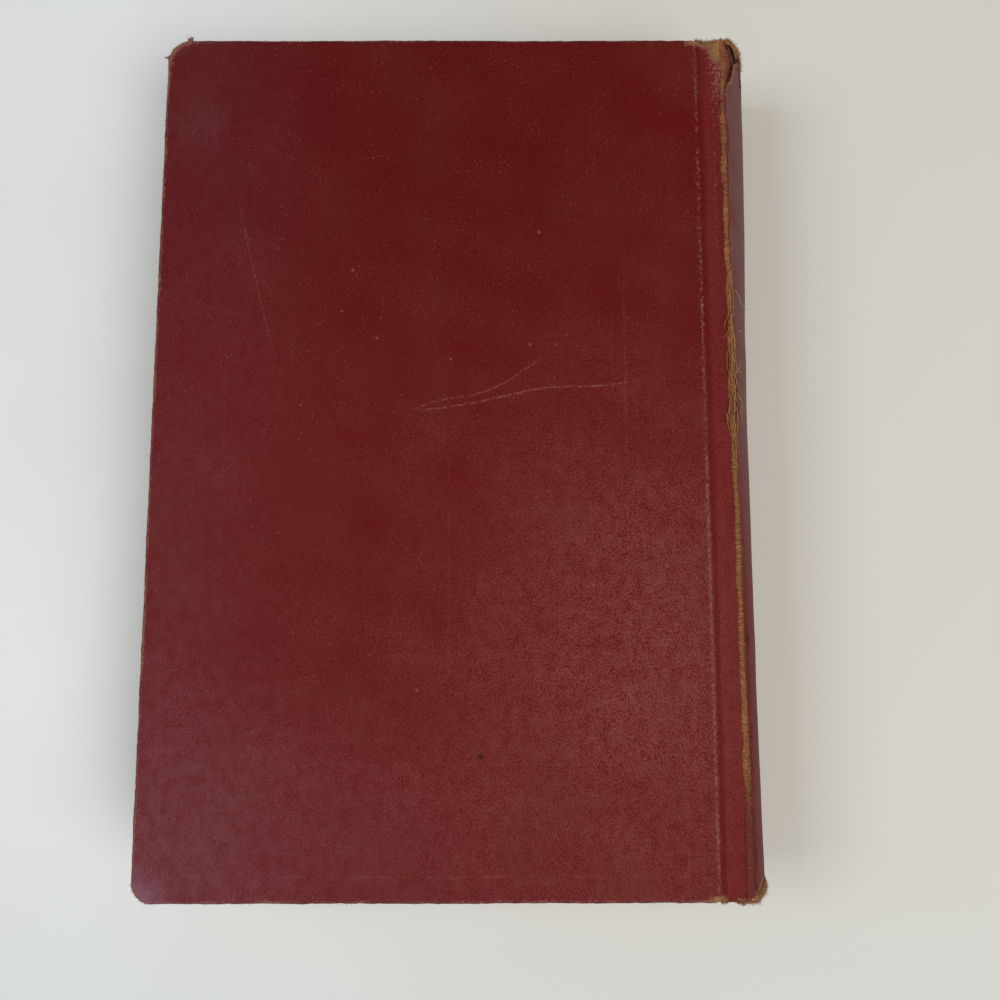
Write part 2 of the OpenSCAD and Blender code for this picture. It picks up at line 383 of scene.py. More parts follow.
class Shade:
    """A material, whose nodes are built up socket by socket."""

    def __init__(self, name: str, flat: bool = False) -> None:
        """Starts with a bare Principled surface.

        Args:
            name: The material's name.
            flat: True where its noises lie in a plane, which is quicker.
        """
        self.flat = flat
        self.material = bpy.data.materials.new(name)
        self.material.use_nodes = True
        self.tree = self.material.node_tree
        self.surface = self.tree.nodes["Principled BSDF"]

    def feed(self, place: Socket, value: object) -> None:
        """Links a socket into an input, or sets the input to a constant."""
        if isinstance(value, Socket):
            self.tree.links.new(value, place)
        elif isinstance(value, tuple) and len(value) == 3 and place.type == "RGBA":
            place.default_value = (*value, 1)
        else:
            place.default_value = value

    def node(self, kind: str, feeds: dict, out: str | int = 0, **settings: object) -> Socket:
        """Adds a node.

        Args:
            kind: Its type, without ShaderNode.
            feeds: What goes into its inputs, by name or number.
            out: The output that is wanted.
            **settings: The node's own properties.

        Returns:
            That output's socket.
        """
        made = self.tree.nodes.new("ShaderNode" + kind)
        for name, value in settings.items():
            setattr(made, name, value)
        for name, value in feeds.items():
            self.feed(made.inputs[name], value)
        return made.outputs[out]

    def place(self, stretch: Colour = (1, 1, 1)) -> Socket:
        """Place on the object in millimetres, stretched by a factor along each axis."""
        where = self.node("TexCoord", {}, "Object")
        return self.node("VectorMath", {0: where, 1: tuple(s / MM for s in stretch)},
                         operation="MULTIPLY")

    def value(self, name: str) -> Socket:
        """A number that the mesh holds for each point."""
        return self.node("Attribute", {}, "Fac", attribute_name=name)

    def split(self, vector: Socket) -> tuple[Socket, Socket, Socket]:
        """The X, Y and Z of a vector."""
        parts = self.tree.nodes.new("ShaderNodeSeparateXYZ")
        self.feed(parts.inputs[0], vector)
        return parts.outputs[0], parts.outputs[1], parts.outputs[2]

    def math(self, operation: str, a: object, b: object = 0.0) -> Socket:
        """One sum of the Math node."""
        return self.node("Math", {0: a, 1: b}, operation=operation)

    def times(self, a: object, b: object) -> Socket:
        """The product of two values."""
        return self.math("MULTIPLY", a, b)

    def plus(self, a: object, b: object) -> Socket:
        """The sum of two values."""
        return self.math("ADD", a, b)

    def minus(self, a: object, b: object) -> Socket:
        """The first value less the second."""
        return self.math("SUBTRACT", a, b)

    def greater(self, a: object, b: object) -> Socket:
        """The greater of two values."""
        return self.math("MAXIMUM", a, b)

    def apart(self, a: object, b: object) -> Socket:
        """How far two values are apart."""
        return self.math("ABSOLUTE", self.minus(a, b))

    def step(self, value: object, low: float, high: float, a: float = 0.0,
             b: float = 1.0) -> Socket:
        """A smooth step from a at low to b at high."""
        return self.node("MapRange", {"Value": value, "From Min": low, "From Max": high,
                                      "To Min": a, "To Max": b},
                         interpolation_type="SMOOTHSTEP")

    def noise(self, where: Socket, size: float, detail: float = 3.0, rough: float = 0.55,
              out: str = "Fac") -> Socket:
        """Cloudy noise about 0.5.

        Args:
            where: Place in millimetres.
            size: Size of its clouds.
            detail: Number of finer layers.
            rough: Weight of the finer layers.
            out: Fac for one number, Color for three.

        Returns:
            The noise's value.
        """
        return self.node("TexNoise", {"Vector": where, "Scale": 1 / size, "Detail": detail,
                                      "Roughness": rough}, out, noise_dimensions="2D"
                         if self.flat else "3D")

    def cells(self, where: Socket, size: float) -> Socket:
        """Distance over a plane to the nearest of many points, about size apart."""
        return self.node("TexVoronoi", {"Vector": where, "Scale": 1 / size}, "Distance",
                         voronoi_dimensions="2D")

    def mix(self, share: object, a: object, b: object) -> Socket:
        """Two colours mixed: a at share 0 and b at share 1."""
        return self.node("Mix", {0: share, 6: a, 7: b}, 2, data_type="RGBA", clamp_factor=True)

    def coats(self, colour: object, *coats: tuple[object, object]) -> Socket:
        """Colours laid one over another.

        Args:
            colour: The lowest colour.
            *coats: For each coat, its share from 0 to 1 and its colour.

        Returns:
            The colour that shows.
        """
        for share, coat in coats:
            colour = self.mix(share, colour, coat)
        return colour

    def bump(self, height: object, depth: float, strength: float = 1.0) -> Socket:
        """A surface's normal where height, from 0 to 1, stands for depth in millimetres."""
        return self.node("Bump", {"Strength": strength, "Distance": depth * MM, "Height": height})

    def scratch(self, across: Socket, along: Socket, points: list[tuple[float, float]],
                width: float) -> Socket:
        """A drawn line: how near a place lies to a curve through points.

        Args:
            across: The coordinate that the curve gives.
            along: The coordinate that it runs along.
            points: Pairs of along and across, in rising order of along.
            width: Half the line's width.

        Returns:
            1 on the line, falling to 0 beside it and past its ends.
        """
        knots = np.array(points, float)
        (first, low), (last, high) = knots.min(0) - 0.01, knots.max(0) + 0.01
        share = self.node("MapRange", {"Value": along, "From Min": first, "From Max": last})
        curve = self.tree.nodes.new("ShaderNodeFloatCurve")
        line = curve.mapping.curves[0].points
        scaled = (knots - [first, low]) / [last - first, high - low]
        for k, (u, v) in enumerate(scaled):
            if k < 2:
                line[k].location = (u, v)
            else:
                line.new(u, v)
        curve.mapping.update()
        self.feed(curve.inputs["Value"], share)
        place = self.node("MapRange", {"Value": curve.outputs[0], "To Min": low, "To Max": high})
        off = self.apart(across, place)
        near = self.step(off, width * 0.35, width, 1.0, 0.0)
        run = last - first
        start = self.step(along, first, first + 0.08 * run)
        end = self.step(along, last - 0.15 * run, last, 1.0, 0.0)
        return self.times(near, self.times(start, end))

    def finish(self, colour: object, rough: object, normal: Socket | None = None,
               **constants: object) -> bpy.types.Material:
        """Sets the surface.

        Args:
            colour: Base colour.
            rough: Roughness.
            normal: The bumped normal, if any.
            **constants: Other inputs, with underscores for spaces.

        Returns:
            The finished material.
        """
        self.feed(self.surface.inputs["Base Color"], colour)
        self.feed(self.surface.inputs["Roughness"], rough)
        if normal is not None:
            self.feed(self.surface.inputs["Normal"], normal)
        for name, value in constants.items():
            self.feed(self.surface.inputs[name.replace("_", " ")], value)
        return self.material


@dataclass(frozen=True)
class Scratch:
    """A thin scratch in the cloth, given by points in millimetres along and across it."""

    points: tuple[tuple[float, float], ...]
    width: float = 0.17
    weight: float = 0.6
    runs_x: bool = True


SCRATCHES = (
    Scratch(((23.8, -44.0), (32.6, -46.7), (41.5, -48.9), (53.1, -51.7), (63.5, -54.1)),
            0.28, 0.4, False),
    Scratch(((-10.3, 8.7), (-3.4, 11.4), (4.1, 12.6), (10.4, 14.8), (16.7, 18.8), (22.5, 22.6)),
            0.36, 0.6),
    Scratch(((-10.3, 8.7), (-3.4, 9.4), (2.9, 10.4), (13, 12.6), (23.9, 14.5), (34.5, 14.8),
             (46.5, 16.8)), 0.38, 0.7),
    Scratch(((-21.6, -11.8), (-13.1, -22.5), (-3.6, -32), (3.5, -41.4), (7.5, -46)), 0.25, 0.2),
    Scratch(((-23.6, -95.4), (-12.4, -82.2), (-3.3, -71)), 0.3, 0.12),
)

# Small pale specks on the back cover, each its place and its radius.
SPECKS = ((-1.0, 21.5, 0.45), (18.2, 25.2, 0.5), (24.5, 25.2, 0.4), (-19, 26.8, 0.5),
          (-25.2, 44, 0.6), (-27.7, 33.6, 0.45), (20.6, 53.8, 0.6), (-8.5, -57.5, 0.5),
          (-37.1, 10.2, 0.4), (32.9, -33.2, 0.4))


# The fields that a cloth's mesh gives at each point: how far it is rubbed through; a painted sheen of hazy window
# light on the covers, which on the spine marks its pale torn edge; how far light has faded it; dirt together with
# painted shade in slits, hollows and on edges turned from the light; and a painted highlight on the tops of its
# grain.
FIELDS = ("rub", "fade", "old", "grime_and_shade", "dry")


@dataclass(frozen=True)
class BookCloth:
    """Red book cloth with an embossed grain, rubbed to tan where it wears through.

    The mesh gives each point its wear and dirt, its painted sheen and painted shade, and its place on the cloth
    along both threads.
    """

    name: str
    deep: Colour = (0.103, 0.0038, 0.0041)
    # The lit red paints light on the grain's tops.
    lit: Colour = (0.157, 0.0082, 0.0076)
    brown: Colour = (0.122, 0.0125, 0.0065)
    # Colour of scuffs, and of the painted highlight on the grain's tops.
    sheen_and_scuff: Colour = (0.272, 0.080, 0.066)
    # A brighter red, painted light on the joint's slope.
    joint: Colour = (0.200, 0.0240, 0.0235)
    # Colour of the painted sheen of window light, and of the spine's pale torn edge.
    haze: Colour = (0.200, 0.085, 0.120)
    faded: Colour = (0.134, 0.056, 0.054)
    rubbed: Colour = (0.245, 0.092, 0.082)
    bare: Colour = (0.245, 0.122, 0.062)
    gold: Colour = (0.320, 0.162, 0.062)
    # Colour of dirt, and of painted shade.
    soot_and_shade: Colour = (0.040, 0.0115, 0.008)
    # A darker crimson, painted shade in the groove beside the board's edge.
    pressed: Colour = (0.118, 0.0062, 0.0095)
    scratched: Colour = (0.29, 0.105, 0.078)
    dust_and_shade: Colour = (0.27, 0.10, 0.095)

    def grain(self, shade: Shade, where: Socket) -> Socket:
        """Pebbles a little longer than wide, with finer creases and the weave under them.

        Args:
            shade: The material being built.
            where: Place on the cloth.

        Returns:
            Height of the grain, about 0 to 1.
        """
        drift = shade.noise(where, 1.3, 1.0, 0.5, "Color")
        moved = shade.node("VectorMath", {0: drift, 1: (0.9, 0.9, 0), 2: where},
                           operation="MULTIPLY_ADD")
        pebble = shade.step(shade.cells(moved, 0.39), 0.05, 0.62, 1.0, 0.0)
        fine = shade.noise(where, 0.20, 2.0, 0.85)
        return shade.plus(shade.times(pebble, 0.36), shade.times(fine, 0.86))

    def frame_line(self, shade: Shade, book: Layout) -> Socket:
        """The blind frame pressed into the covers: near zero of a box's distance.

        Args:
            shade: The material being built.
            book: The book's measures.

        Returns:
            1 on the line and 0 off it.
        """
        x, y, _ = shade.split(shade.place())
        centre = (book.fore + book.round_x) / 2
        half_x = (book.round_x - book.fore) / 2 - book.frame_in - 0.3
        half_y = book.head - book.frame_in - 0.3
        off_x = shade.minus(shade.apart(x, centre), half_x)
        off_y = shade.minus(shade.math("ABSOLUTE", y), half_y)
        off = shade.math("ABSOLUTE", shade.greater(off_x, off_y))
        return shade.step(off, 0.12, 0.42, 1.0, 0.0)

    def ghosts(self, shade: Shade) -> Socket:
        """Faint straight lines that another thing has pressed into the back cover.

        Args:
            shade: The material being built.

        Returns:
            About 1 on a line and 0 off it.
        """
        x, y, _ = shade.split(shade.place())
        total: Socket | float = 0.0
        for line, across, at, along, low, high in (
                (0.6, x, 41.2, y, -75, 52), (0.6, y, -74.4, x, -67, 41.4), (0.4, x, -1.2, y, -60, 7),
                (0.35, x, -55.5, y, -60, 37)):
            off = shade.apart(across, at)
            near = shade.step(off, 0.1, 0.4, line, 0.0)
            inside = shade.times(shade.step(along, low, low + 3),
                                 shade.step(along, high - 12, high, 1.0, 0.0))
            total = shade.greater(total, shade.times(near, inside))
        return total

    def marks(self, shade: Shade) -> Socket:
        """Scratches and specks on the back cover, each one broken here and there.

        Args:
            shade: The material being built.

        Returns:
            1 in a mark and 0 off it.
        """
        where = shade.place()
        x, y, _ = shade.split(where)
        total: Socket | float = 0.0
        for mark in SCRATCHES:
            across, along = (y, x) if mark.runs_x else (x, y)
            line = shade.scratch(across, along, list(mark.points), mark.width)
            total = shade.greater(total, shade.times(line, mark.weight))
        gaps = shade.step(shade.noise(where, 0.9, 3.0, 0.8), 0.42, 0.62, 0.05, 1.0)
        total = shade.times(total, gaps)
        for at_x, at_y, size in SPECKS:
            away = shade.node("VectorMath", {0: where, 1: (at_x, at_y, 32.0)}, 1,
                              operation="DISTANCE")
            total = shade.greater(total, shade.step(away, size * 0.3, size, 0.7, 0.0))
        return total

    def build(self, book: Layout, marked: bool = False) -> bpy.types.Material:
        """Makes the material.

        Args:
            book: The book's measures.
            marked: True on the back cover, which has the scratches and the frame.

        Returns:
            The material.
        """
        shade = Shade(self.name, flat=True)
        rub, fade, old, grime_and_shade, dry = (shade.value(v) for v in FIELDS)
        along = shade.times(shade.value("along"), 0.74)
        where = shade.node("CombineXYZ", {0: shade.value("across"), 1: along})
        height = self.grain(shade, where)
        clouds = shade.noise(where, 24, 3.0, 0.6)
        spots = shade.noise(where, 2.6, 3.0, 0.65)
        tops = shade.step(shade.plus(height, shade.times(spots, 0.5)), 0.50, 1.15)
        mist = shade.step(shade.plus(spots, shade.times(height, 0.5)), 0.4, 1.1, 0.35, 1.0)
        # Painted light on the grain: its tops are painted lighter (lit red, and a lighter faded colour on the
        # spine), with a pale painted highlight over them that is strongest low on the cover's right. The haze is a
        # painted sheen of window light.
        aged = shade.mix(shade.step(height, 0.2, 1.0, 0.0, 0.5), self.faded,
                         tuple(c * 1.9 for c in self.faded))
        colour = shade.coats(
            self.deep, (shade.step(height, 0.25, 0.95), self.lit),
            (shade.step(clouds, 0.42, 0.64, 0.0, 0.5), self.brown),
            (shade.times(tops, dry), self.sheen_and_scuff), (shade.times(fade, mist), self.haze),
            (shade.times(old, shade.step(spots, 0.1, 0.6, 0.75, 1.0)), aged))
        if marked:
            x, y, _ = shade.split(shade.place())
            # Painted shade: the back cover darkens towards the head, most towards the fore edge.
            head_shade = shade.times(shade.step(y, -10, 85, 0.0, 0.22), shade.step(x, 15, 60, 1.0, 0.35))
            # Painted light: the joint beyond the board's edge is painted a brighter red on its grain, as a slope
            # lit from the window.
            lit_joint = shade.times(shade.step(x, book.board_edge + 0.5, book.board_edge + 2.5),
                                shade.step(height, 0.3, 0.95, 0.15, 0.75))
            lower = shade.step(shade.plus(y, shade.step(x, -50, -30, 40, 0)), -35, 0, 1.0, 0.0)
            worn = shade.times(shade.step(shade.noise(where, 9, 2.0), 0.38, 0.62), lower)
            # Painted shade: a darker crimson line down the slope into the groove, just past the board's edge,
            # weaker towards the head.
            beside = shade.apart(x, book.board_edge + 1.3)
            pressed = shade.times(shade.step(beside, 0.3, 1.0, 0.62, 0.0),
                                  shade.step(y, -20, 60, 1.0, 0.35))
            line = shade.times(self.frame_line(shade, book), worn)
            line = shade.greater(line, self.ghosts(shade))
            seen = shade.times(line, shade.step(spots, 0.36, 0.66, 0.03, 0.20))
            dust = shade.times(shade.step(shade.noise(where, 0.62, 1.0), 0.66, 0.76),
                               shade.step(shade.noise(where, 7, 3.0, 0.7), 0.42, 0.66, 0.02, 0.30))
            colour = shade.coats(
                colour, (head_shade, tuple(c * 0.35 for c in self.deep)), (lit_joint, self.joint),
                (pressed, self.pressed), (seen, self.sheen_and_scuff),
                (shade.times(self.marks(shade), 0.8), self.scratched), (dust, self.dust_and_shade))
            height = shade.minus(height, shade.times(line, 0.3))
            away = shade.node("VectorMath", {0: shade.place(), 1: (6.3, -72.6, 32.0)}, 1,
                              operation="DISTANCE")
            grime_and_shade = shade.greater(grime_and_shade, shade.step(away, 0.35, 0.75, 1.0, 0.0))
        speck = shade.minus(shade.noise(where, 0.7, 3.0, 0.85), 0.5)
        wear = shade.plus(rub, shade.times(speck, 1.8))
        first = shade.step(wear, 0.34, 0.66)
        # Dirt and painted shade are both laid on in the soot colour.
        soiled = shade.step(shade.plus(grime_and_shade, shade.times(speck, 0.5)), 0.3, 0.7)
        colour = shade.coats(
            colour, (shade.times(first, 0.8), self.rubbed),
            (shade.step(wear, 0.60, 0.92), self.bare), (shade.step(wear, 0.90, 1.30), self.gold),
            (soiled, self.soot_and_shade))
        rough = shade.step(shade.plus(first, height), 0.3, 1.6, 0.46, 0.85)
        return shade.finish(colour, rough, shade.bump(height, 0.085), Specular_IOR_Level=0.07)


class Outline:
    """The cloth's outer line in section, from the back cover's face round the spine.

    A place on it is named by its distance from the crown of the back ridge, which is negative
    on the cover's side of the ridge.
    """

    SHIFT_Y = (-105.0, -98.0, -85.0, -64.0, -20.0, 11.0, 29.0, 60.0, 87.0, 105.0)
    SHIFT = (0.8, 0.75, 0.55, 0.35, 0.3, 0.33, 0.65, 1.6, 2.05, 2.2)

    def __init__(self, book: Layout) -> None:
        """Lays the board's bend, the groove, the ridge and half the spine end to end.

        Args:
            book: The book's measures.
        """
        self.book = book
        slope = math.degrees(book.slope)
        low = book.top - book.groove
        bend = arc((book.round_x, book.top - book.bend), book.bend, 90, slope, 9)
        foot = arc((book.groove_x, low + book.foot), book.foot, 180 + slope, 270, 7)[1:]
        x = np.linspace(book.groove_x, book.hinge_x, 16)[1:]
        share = (x - book.groove_x) / (book.hinge_x - book.groove_x)
        rise = (book.groove - book.ridge_drop) * (1 - np.cos(np.pi * share)) / 2
        self.joint = np.concatenate([bend, foot, np.stack([x, low + rise], -1)])
        angle = book.spine_angle
        ridge = arc((book.hinge_x, book.middle + book.rise), book.ridge, 90, angle, 12)[1:]
        wide = arc((book.spine_x, book.middle), book.reach + book.ridge, angle, -angle, 60)[1:]
        under = ridge[:-1] * [1, -1] + [0, 2 * book.middle]
        crown = np.array([[book.hinge_x, 2 * book.middle - self.joint[-1, 1]]])
        self.line = np.concatenate([self.joint, ridge, wide, under[::-1], crown])
        step = np.linalg.norm(np.diff(self.line, axis=0), axis=1)
        run = np.concatenate([[0], np.cumsum(step)])
        self.run = run - run[len(self.joint) - 1]
        self.length = self.run[-1]
        along = np.gradient(self.line, self.run, axis=0)
        along /= np.linalg.norm(along, axis=1)[:, None]
        self.normal = np.stack([-along[:, 1], along[:, 0]], -1)

    def at(self, run: np.ndarray, y: np.ndarray, out: np.ndarray | float = 0.0) -> np.ndarray:
        """Points on the line, or off it along its normal. The old spine stands a little further
        out towards the head: its curve is pushed out by a share that is none at the ridges.

        Args:
            run: Distance from the crown of the back ridge.
            y: Place from tail to head.
            out: Distance outwards.

        Returns:
            Points of X, Y and Z.
        """
        run, y, out = np.broadcast_arrays(run, y, out)
        x, z = (np.interp(run, self.run, self.line[:, k]) for k in (0, 1))
        nx, nz = (np.interp(run, self.run, self.normal[:, k]) for k in (0, 1))
        size = np.hypot(nx, nz)
        share = np.clip(run / self.length, 0, 1)
        lean = np.interp(y, self.SHIFT_Y, self.SHIFT) * (1 - (2 * share - 1) ** 2)
        return np.stack([x + out * nx / size + lean, y, z + out * nz / size], -1)

    def slit(self, y: np.ndarray) -> tuple[np.ndarray, np.ndarray]:
        """The tear at the head: it leaves the back ridge and runs outwards, narrow at first,
        and gapes just under the fringe at the end.

        Args:
            y: Place from tail to head.

        Returns:
            Where it begins and where it ends, as distances from the ridge.
        """
        head = self.book.head
        near = 0.12 + 0.25 * smooth(y, head - 15, head - 13) + 2.2 * smooth(y, head - 14, head - 4)
        near = near - 1.8 * smooth(y, head - 4.4, head - 1.8)
        wide = 0.5 * smooth(y, head - 14, head - 10) + 1.9 * smooth(y, head - 6.0, head - 4.4) \
            * (1 - smooth(y, head - 1.9, head - 0.95))
        return near, near + wide


@dataclass
class CoverCloth:
    """Book cloth of one cover: over the board, round its edges, and through the joint."""

    book: Layout
    side: Side
    spacing: float = 1.1

    def rings(self) -> tuple[np.ndarray, np.ndarray]:
        """The rounded edge of a covered board, from its face to the end of the turn-in.

        Returns:
            For each ring its inset, plain and by the edge's radius, and its drop, by that
            radius and by the board's thickness.
        """
        quarter = np.radians(np.linspace(0, 90, 7))
        flat = np.linspace(self.book.head_corner, self.book.edge, 6)[1:-1]
        under = np.array([2.0, 3.0, 4.2, 6.0, 8.0, 10.0, 12.5, self.book.turn_in])
        inset = np.concatenate([
            np.stack([flat, np.zeros(4)], -1),
            np.stack([np.zeros(7), 1 - np.sin(quarter)], -1),
            np.zeros((2, 2)),
            np.stack([np.zeros(7), 1 - np.cos(quarter)], -1),
            np.stack([under, np.zeros(8)], -1)])
        drop = np.concatenate([
            np.zeros((4, 2)),
            np.stack([1 - np.sin(quarter[::-1]), np.zeros(7)], -1),
            np.array([[0.6, 0.2], [-0.6, 0.8]]),
            np.stack([np.sin(quarter) - 1, np.ones(7)], -1),
            np.stack([np.zeros(8), np.ones(8)], -1)])
        return inset, drop

    def build(self, outline: Outline) -> bpy.types.Object:
        """Lays one grid over the whole cloth. A column or row near an edge belongs to a ring,
        and a point on both takes the outer ring and turns about the corner in step.

        Args:
            outline: The cloth's line in section.

        Returns:
            The cloth.
        """
        book = self.book
        inset, drop = self.rings()
        count = len(inset)
        joint = outline.joint.copy()
        joint[-1, 0] -= 0.12
        inner = np.arange(book.fore + book.head_corner, book.round_x - 0.5, self.spacing)
        xs = np.concatenate([np.full(count, book.fore), inner, joint[:, 0]])
        zs = np.concatenate([np.full(count + len(inner), book.top), joint[:, 1]])
        ring_x = np.concatenate([np.arange(count, 0, -1), np.zeros(len(inner) + len(joint), int)])
        reach = book.head - book.head_corner
        middle = np.linspace(-reach, reach, int(2 * reach / self.spacing))
        ys = np.concatenate([np.full(count, -reach), middle, np.full(count, reach)])
        ring_y = np.concatenate([np.arange(count, 0, -1), np.zeros(len(middle), int),
                                 np.arange(1, count + 1)])
        half = np.where(np.arange(len(ys)) < len(ys) / 2, -1.0, 1.0)[:, None]
        # the folded cloth thins from the covered board to twice its own thickness in the joint
        thin = smooth(xs, book.board_edge - 0.2, book.groove_x + 0.2)
        thick = book.thick + (2.2 * book.cloth - book.thick) * thin
        radius = np.minimum(book.edge, 0.5 * thick)
        ring = np.maximum(ring_x[None, :], ring_y[:, None])
        at = np.maximum(ring - 1, 0)
        away = np.where(ring > 0, inset[at, 0] + inset[at, 1] * radius, 99.0)
        down = np.where(ring > 0, drop[at, 0] * radius + drop[at, 1] * thick, 0)
        on_x, on_y = np.broadcast_arrays((ring_x > 0)[None, :], (ring_y > 0)[:, None])
        x = np.where(on_x, book.fore + away, xs[None, :])
        y = np.where(on_y, half * (book.head - away), ys[:, None])
        bound = np.maximum(away, book.head_corner)
        y = np.where(on_x & ~on_y, np.clip(y, bound - book.head, book.head - bound), y)
        x = np.where(on_y & ~on_x & (down > 0.6 * thick), np.maximum(x, book.fore + away), x)
        corner = np.where(half > 0, book.head_corner, book.tail_corner)
        a, b = np.broadcast_arrays(ring_x[None, :].astype(float), ring_y[:, None].astype(float))
        big = np.maximum(np.maximum(a, b), 1)
        turn = np.where(a >= b, 45 * b / big, 90 - 45 * a / big)
        turn = np.radians(np.where(on_x & on_y, turn, np.where(on_y, 90, 0)))
        out = corner - away
        round_off = on_x & on_y & (out > 0)
        x = np.where(round_off, book.fore + corner - out * np.cos(turn), x)
        y = np.where(round_off, half * (book.head - corner + out * np.sin(turn)), y)
        points = np.stack([x, y, zs[None, :] - down], -1)
        facing = np.stack([-np.cos(turn), half * np.sin(turn), np.zeros(turn.shape)], -1)
        points = self.weather(points, facing, down, away)
        across = np.cumsum(np.linalg.norm(np.diff(points, axis=1, prepend=points[:, :1]), axis=2), 1)
        along = np.cumsum(np.linalg.norm(np.diff(points, axis=0, prepend=points[:1]), axis=2), 0)
        centre = (points.shape[0] // 2, points.shape[1] // 2)
        piece = Piece(f"{self.side.value}_book_cloth")
        piece.add(points, lattice(*x.shape), **self.wear(points, down, away),
                  across=across - across[:, centre[1], None], along=along - along[centre[0]])
        return thicken(piece.make(self.side is Side.FRONT, book.middle), True)

    def weather(self, points: np.ndarray, facing: np.ndarray, down: np.ndarray,
                away: np.ndarray) -> np.ndarray:
        """Bends the face a hair out of true, as an old board is, and nibbles the edges.

        Args:
            points: The cloth's points.
            facing: Which way each edge faces.
            down: Distance below the face.
            away: Distance in from the edge.

        Returns:
            The points, moved.
        """
        book, seed = self.book, self.side.seed
        x, y, z = np.moveaxis(points, -1, 0)
        lie = 0.05 * waves(x, y, 60, seed) + 0.015 * waves(x, y, 9, seed + 1)
        rise = np.where(down < 0.7 * book.thick, lie, 0.0)
        near = bell(np.minimum(away, 9), 0.9)
        ragged = smooth(x, book.board_edge - 3, book.groove_x)
        nibble = 0.05 * waves(x, y, 3.1, seed + 2) + 0.06 * waves(x, y, 17, seed + 3) - 0.05
        nibble = nibble + ragged * (0.16 * waves(x, y, 2.3, seed + 8) - 0.12)
        moved = points + facing * (near * nibble)[..., None]
        moved[..., 2] += rise
        return moved

    def wear(self, points: np.ndarray, down: np.ndarray,
             away: np.ndarray) -> dict[str, np.ndarray]:
        """Where the cloth is rubbed through or soiled, where painted shade lies on its edges, and where painted
        sheen and a painted highlight lie on it.

        Args:
            points: The cloth's points.
            down: Distance below the face.
            away: Distance in from the edge.

        Returns:
            The fields rub, fade, old, grime and dry, each about 0 to 1.
        """
        book, seed = self.book, self.side.seed
        x, y, _ = np.moveaxis(points, -1, 0)
        outer = np.minimum(np.where(down < book.thick / 2, away, away + 0.4), 9)
        level = 0.92 + 0.16 * waves(x, y, 12, seed + 4) + 0.12 * waves(x, y, 2.6, seed + 5)
        level = level - 0.42 * smooth(np.abs(y), book.head - 2.5, book.head - 1.2)
        level = level - 0.22 * smooth(-x, 60, 70)
        rub = (1 - smooth(outer, 0.35, 1.6)) * np.clip(level, 0.2, 1.2)
        rub = rub * (1 - 0.4 * smooth(down, 1.0, 2.4))
        # Dirt and painted shade: the rounded edges at the head, tail and fore edge are darkened, partly as dirt
        # and partly as shade on edges turned from the light. A dark spot is added where the joint ends at the
        # tail.
        soil = (1 - smooth(outer, 0.15, 0.95)) * smooth(np.abs(y), book.head - 2, book.head - 1)
        soil = soil * (0.56 + 0.08 * waves(x, y, 9, seed + 11)) * (1 - smooth(down, 0.6, 1.2))
        fore = (1 - smooth(outer, 0.3, 1.3)) * smooth(-x, 60, 70) * (1 - smooth(down, 0.6, 1.2))
        soil = np.maximum(soil, fore * (0.42 + 0.07 * waves(x * 0, y, 6, seed + 12)))
        crease = ((x - book.hinge_x + 1.0) / 1.0) ** 2 + ((y + book.head - 1.7) / 1.1) ** 2
        soil = np.maximum(soil, 0.62 * np.exp(-crease))
        # Painted sheen: a hazy purple reflection of window light, on the cover's left side and low on it, at the
        # fore corners, most at the tail, and in a patch near the head's fore corner.
        fade = 0.13 * smooth(-x, 22, 66) + 0.05 * smooth(-y, 60, 100)
        fade = fade + 0.05 * smooth(-y, -10, 50) * smooth(-x, 45, 68)
        fade = fade + 0.19 * smooth(-y, 35, 100) * smooth(-x, -25, 60)
        for sign, size in ((1, 5.2), (-1, 5.0)):
            gap = np.hypot(x - book.fore - 0.4, y - sign * (book.head - 0.4))
            worn = (1 - smooth(outer, 0.8, 2.6)) * bell(gap, 1.9 * size)
            soil = soil * (1 - 0.9 * bell(gap, 1.8 * size))
            rub = np.maximum(rub, (1.0 if sign > 0 else 0.55) * worn)
            rub = np.maximum(rub, 0.22 * bell(gap, 1.5 * size))
            fade = np.maximum(fade, (0.3 if sign > 0 else 1.7) * bell(gap, 7.5))
        patch = np.hypot(x + 63, (y - 81) * 0.8)
        fade = np.maximum(fade, 0.26 * bell(patch, 9))
        line = bell(x - book.board_edge + 0.1, 0.7) * (away > 1)
        rub = np.maximum(rub, line * (0.45 + 0.11 * smooth(-y, -15, 40)
                                      + 0.05 * waves(x * 0, y, 1.7, seed + 6)
                                      + 0.06 * waves(x * 0, y, 14, seed + 9)))
        crease = bell(x - book.board_edge - 4.2, 0.4) * smooth(y, 10, 60)
        rub = np.maximum(rub, crease * (0.30 + 0.12 * waves(x * 0, y, 1.9, seed + 7)))
        wide = 1.0 + 2.2 * smooth(y, 30, 95)
        rub = np.maximum(rub, 0.62 * smooth(x, book.hinge_x - wide, book.hinge_x + 0.1)
                         * smooth(y, -85, -40))
        # the head of the joint is worn to the bare threads, and the tail only at its edge
        head = 0.60 * smooth(y, book.head - 21, book.head - 12)
        head = head + 0.8 * smooth(y, book.head - 7.5, book.head - 2.5)
        rub = np.maximum(rub, head * bell(x - book.hinge_x + 0.8, 2.9))
        ends = smooth(np.abs(y), book.head - 3, book.head - 0.7)
        near = smooth(x, book.board_edge - 4.5, book.board_edge - 0.5)
        near = near * np.where(y < 0, 1 - 0.75 * smooth(x, book.board_edge + 0.6,
                                                        book.board_edge + 2), 1)
        rub = np.maximum(rub, ends * near * 1.2)
        fade = fade * (1 - smooth(x, book.board_edge - 2, book.board_edge))
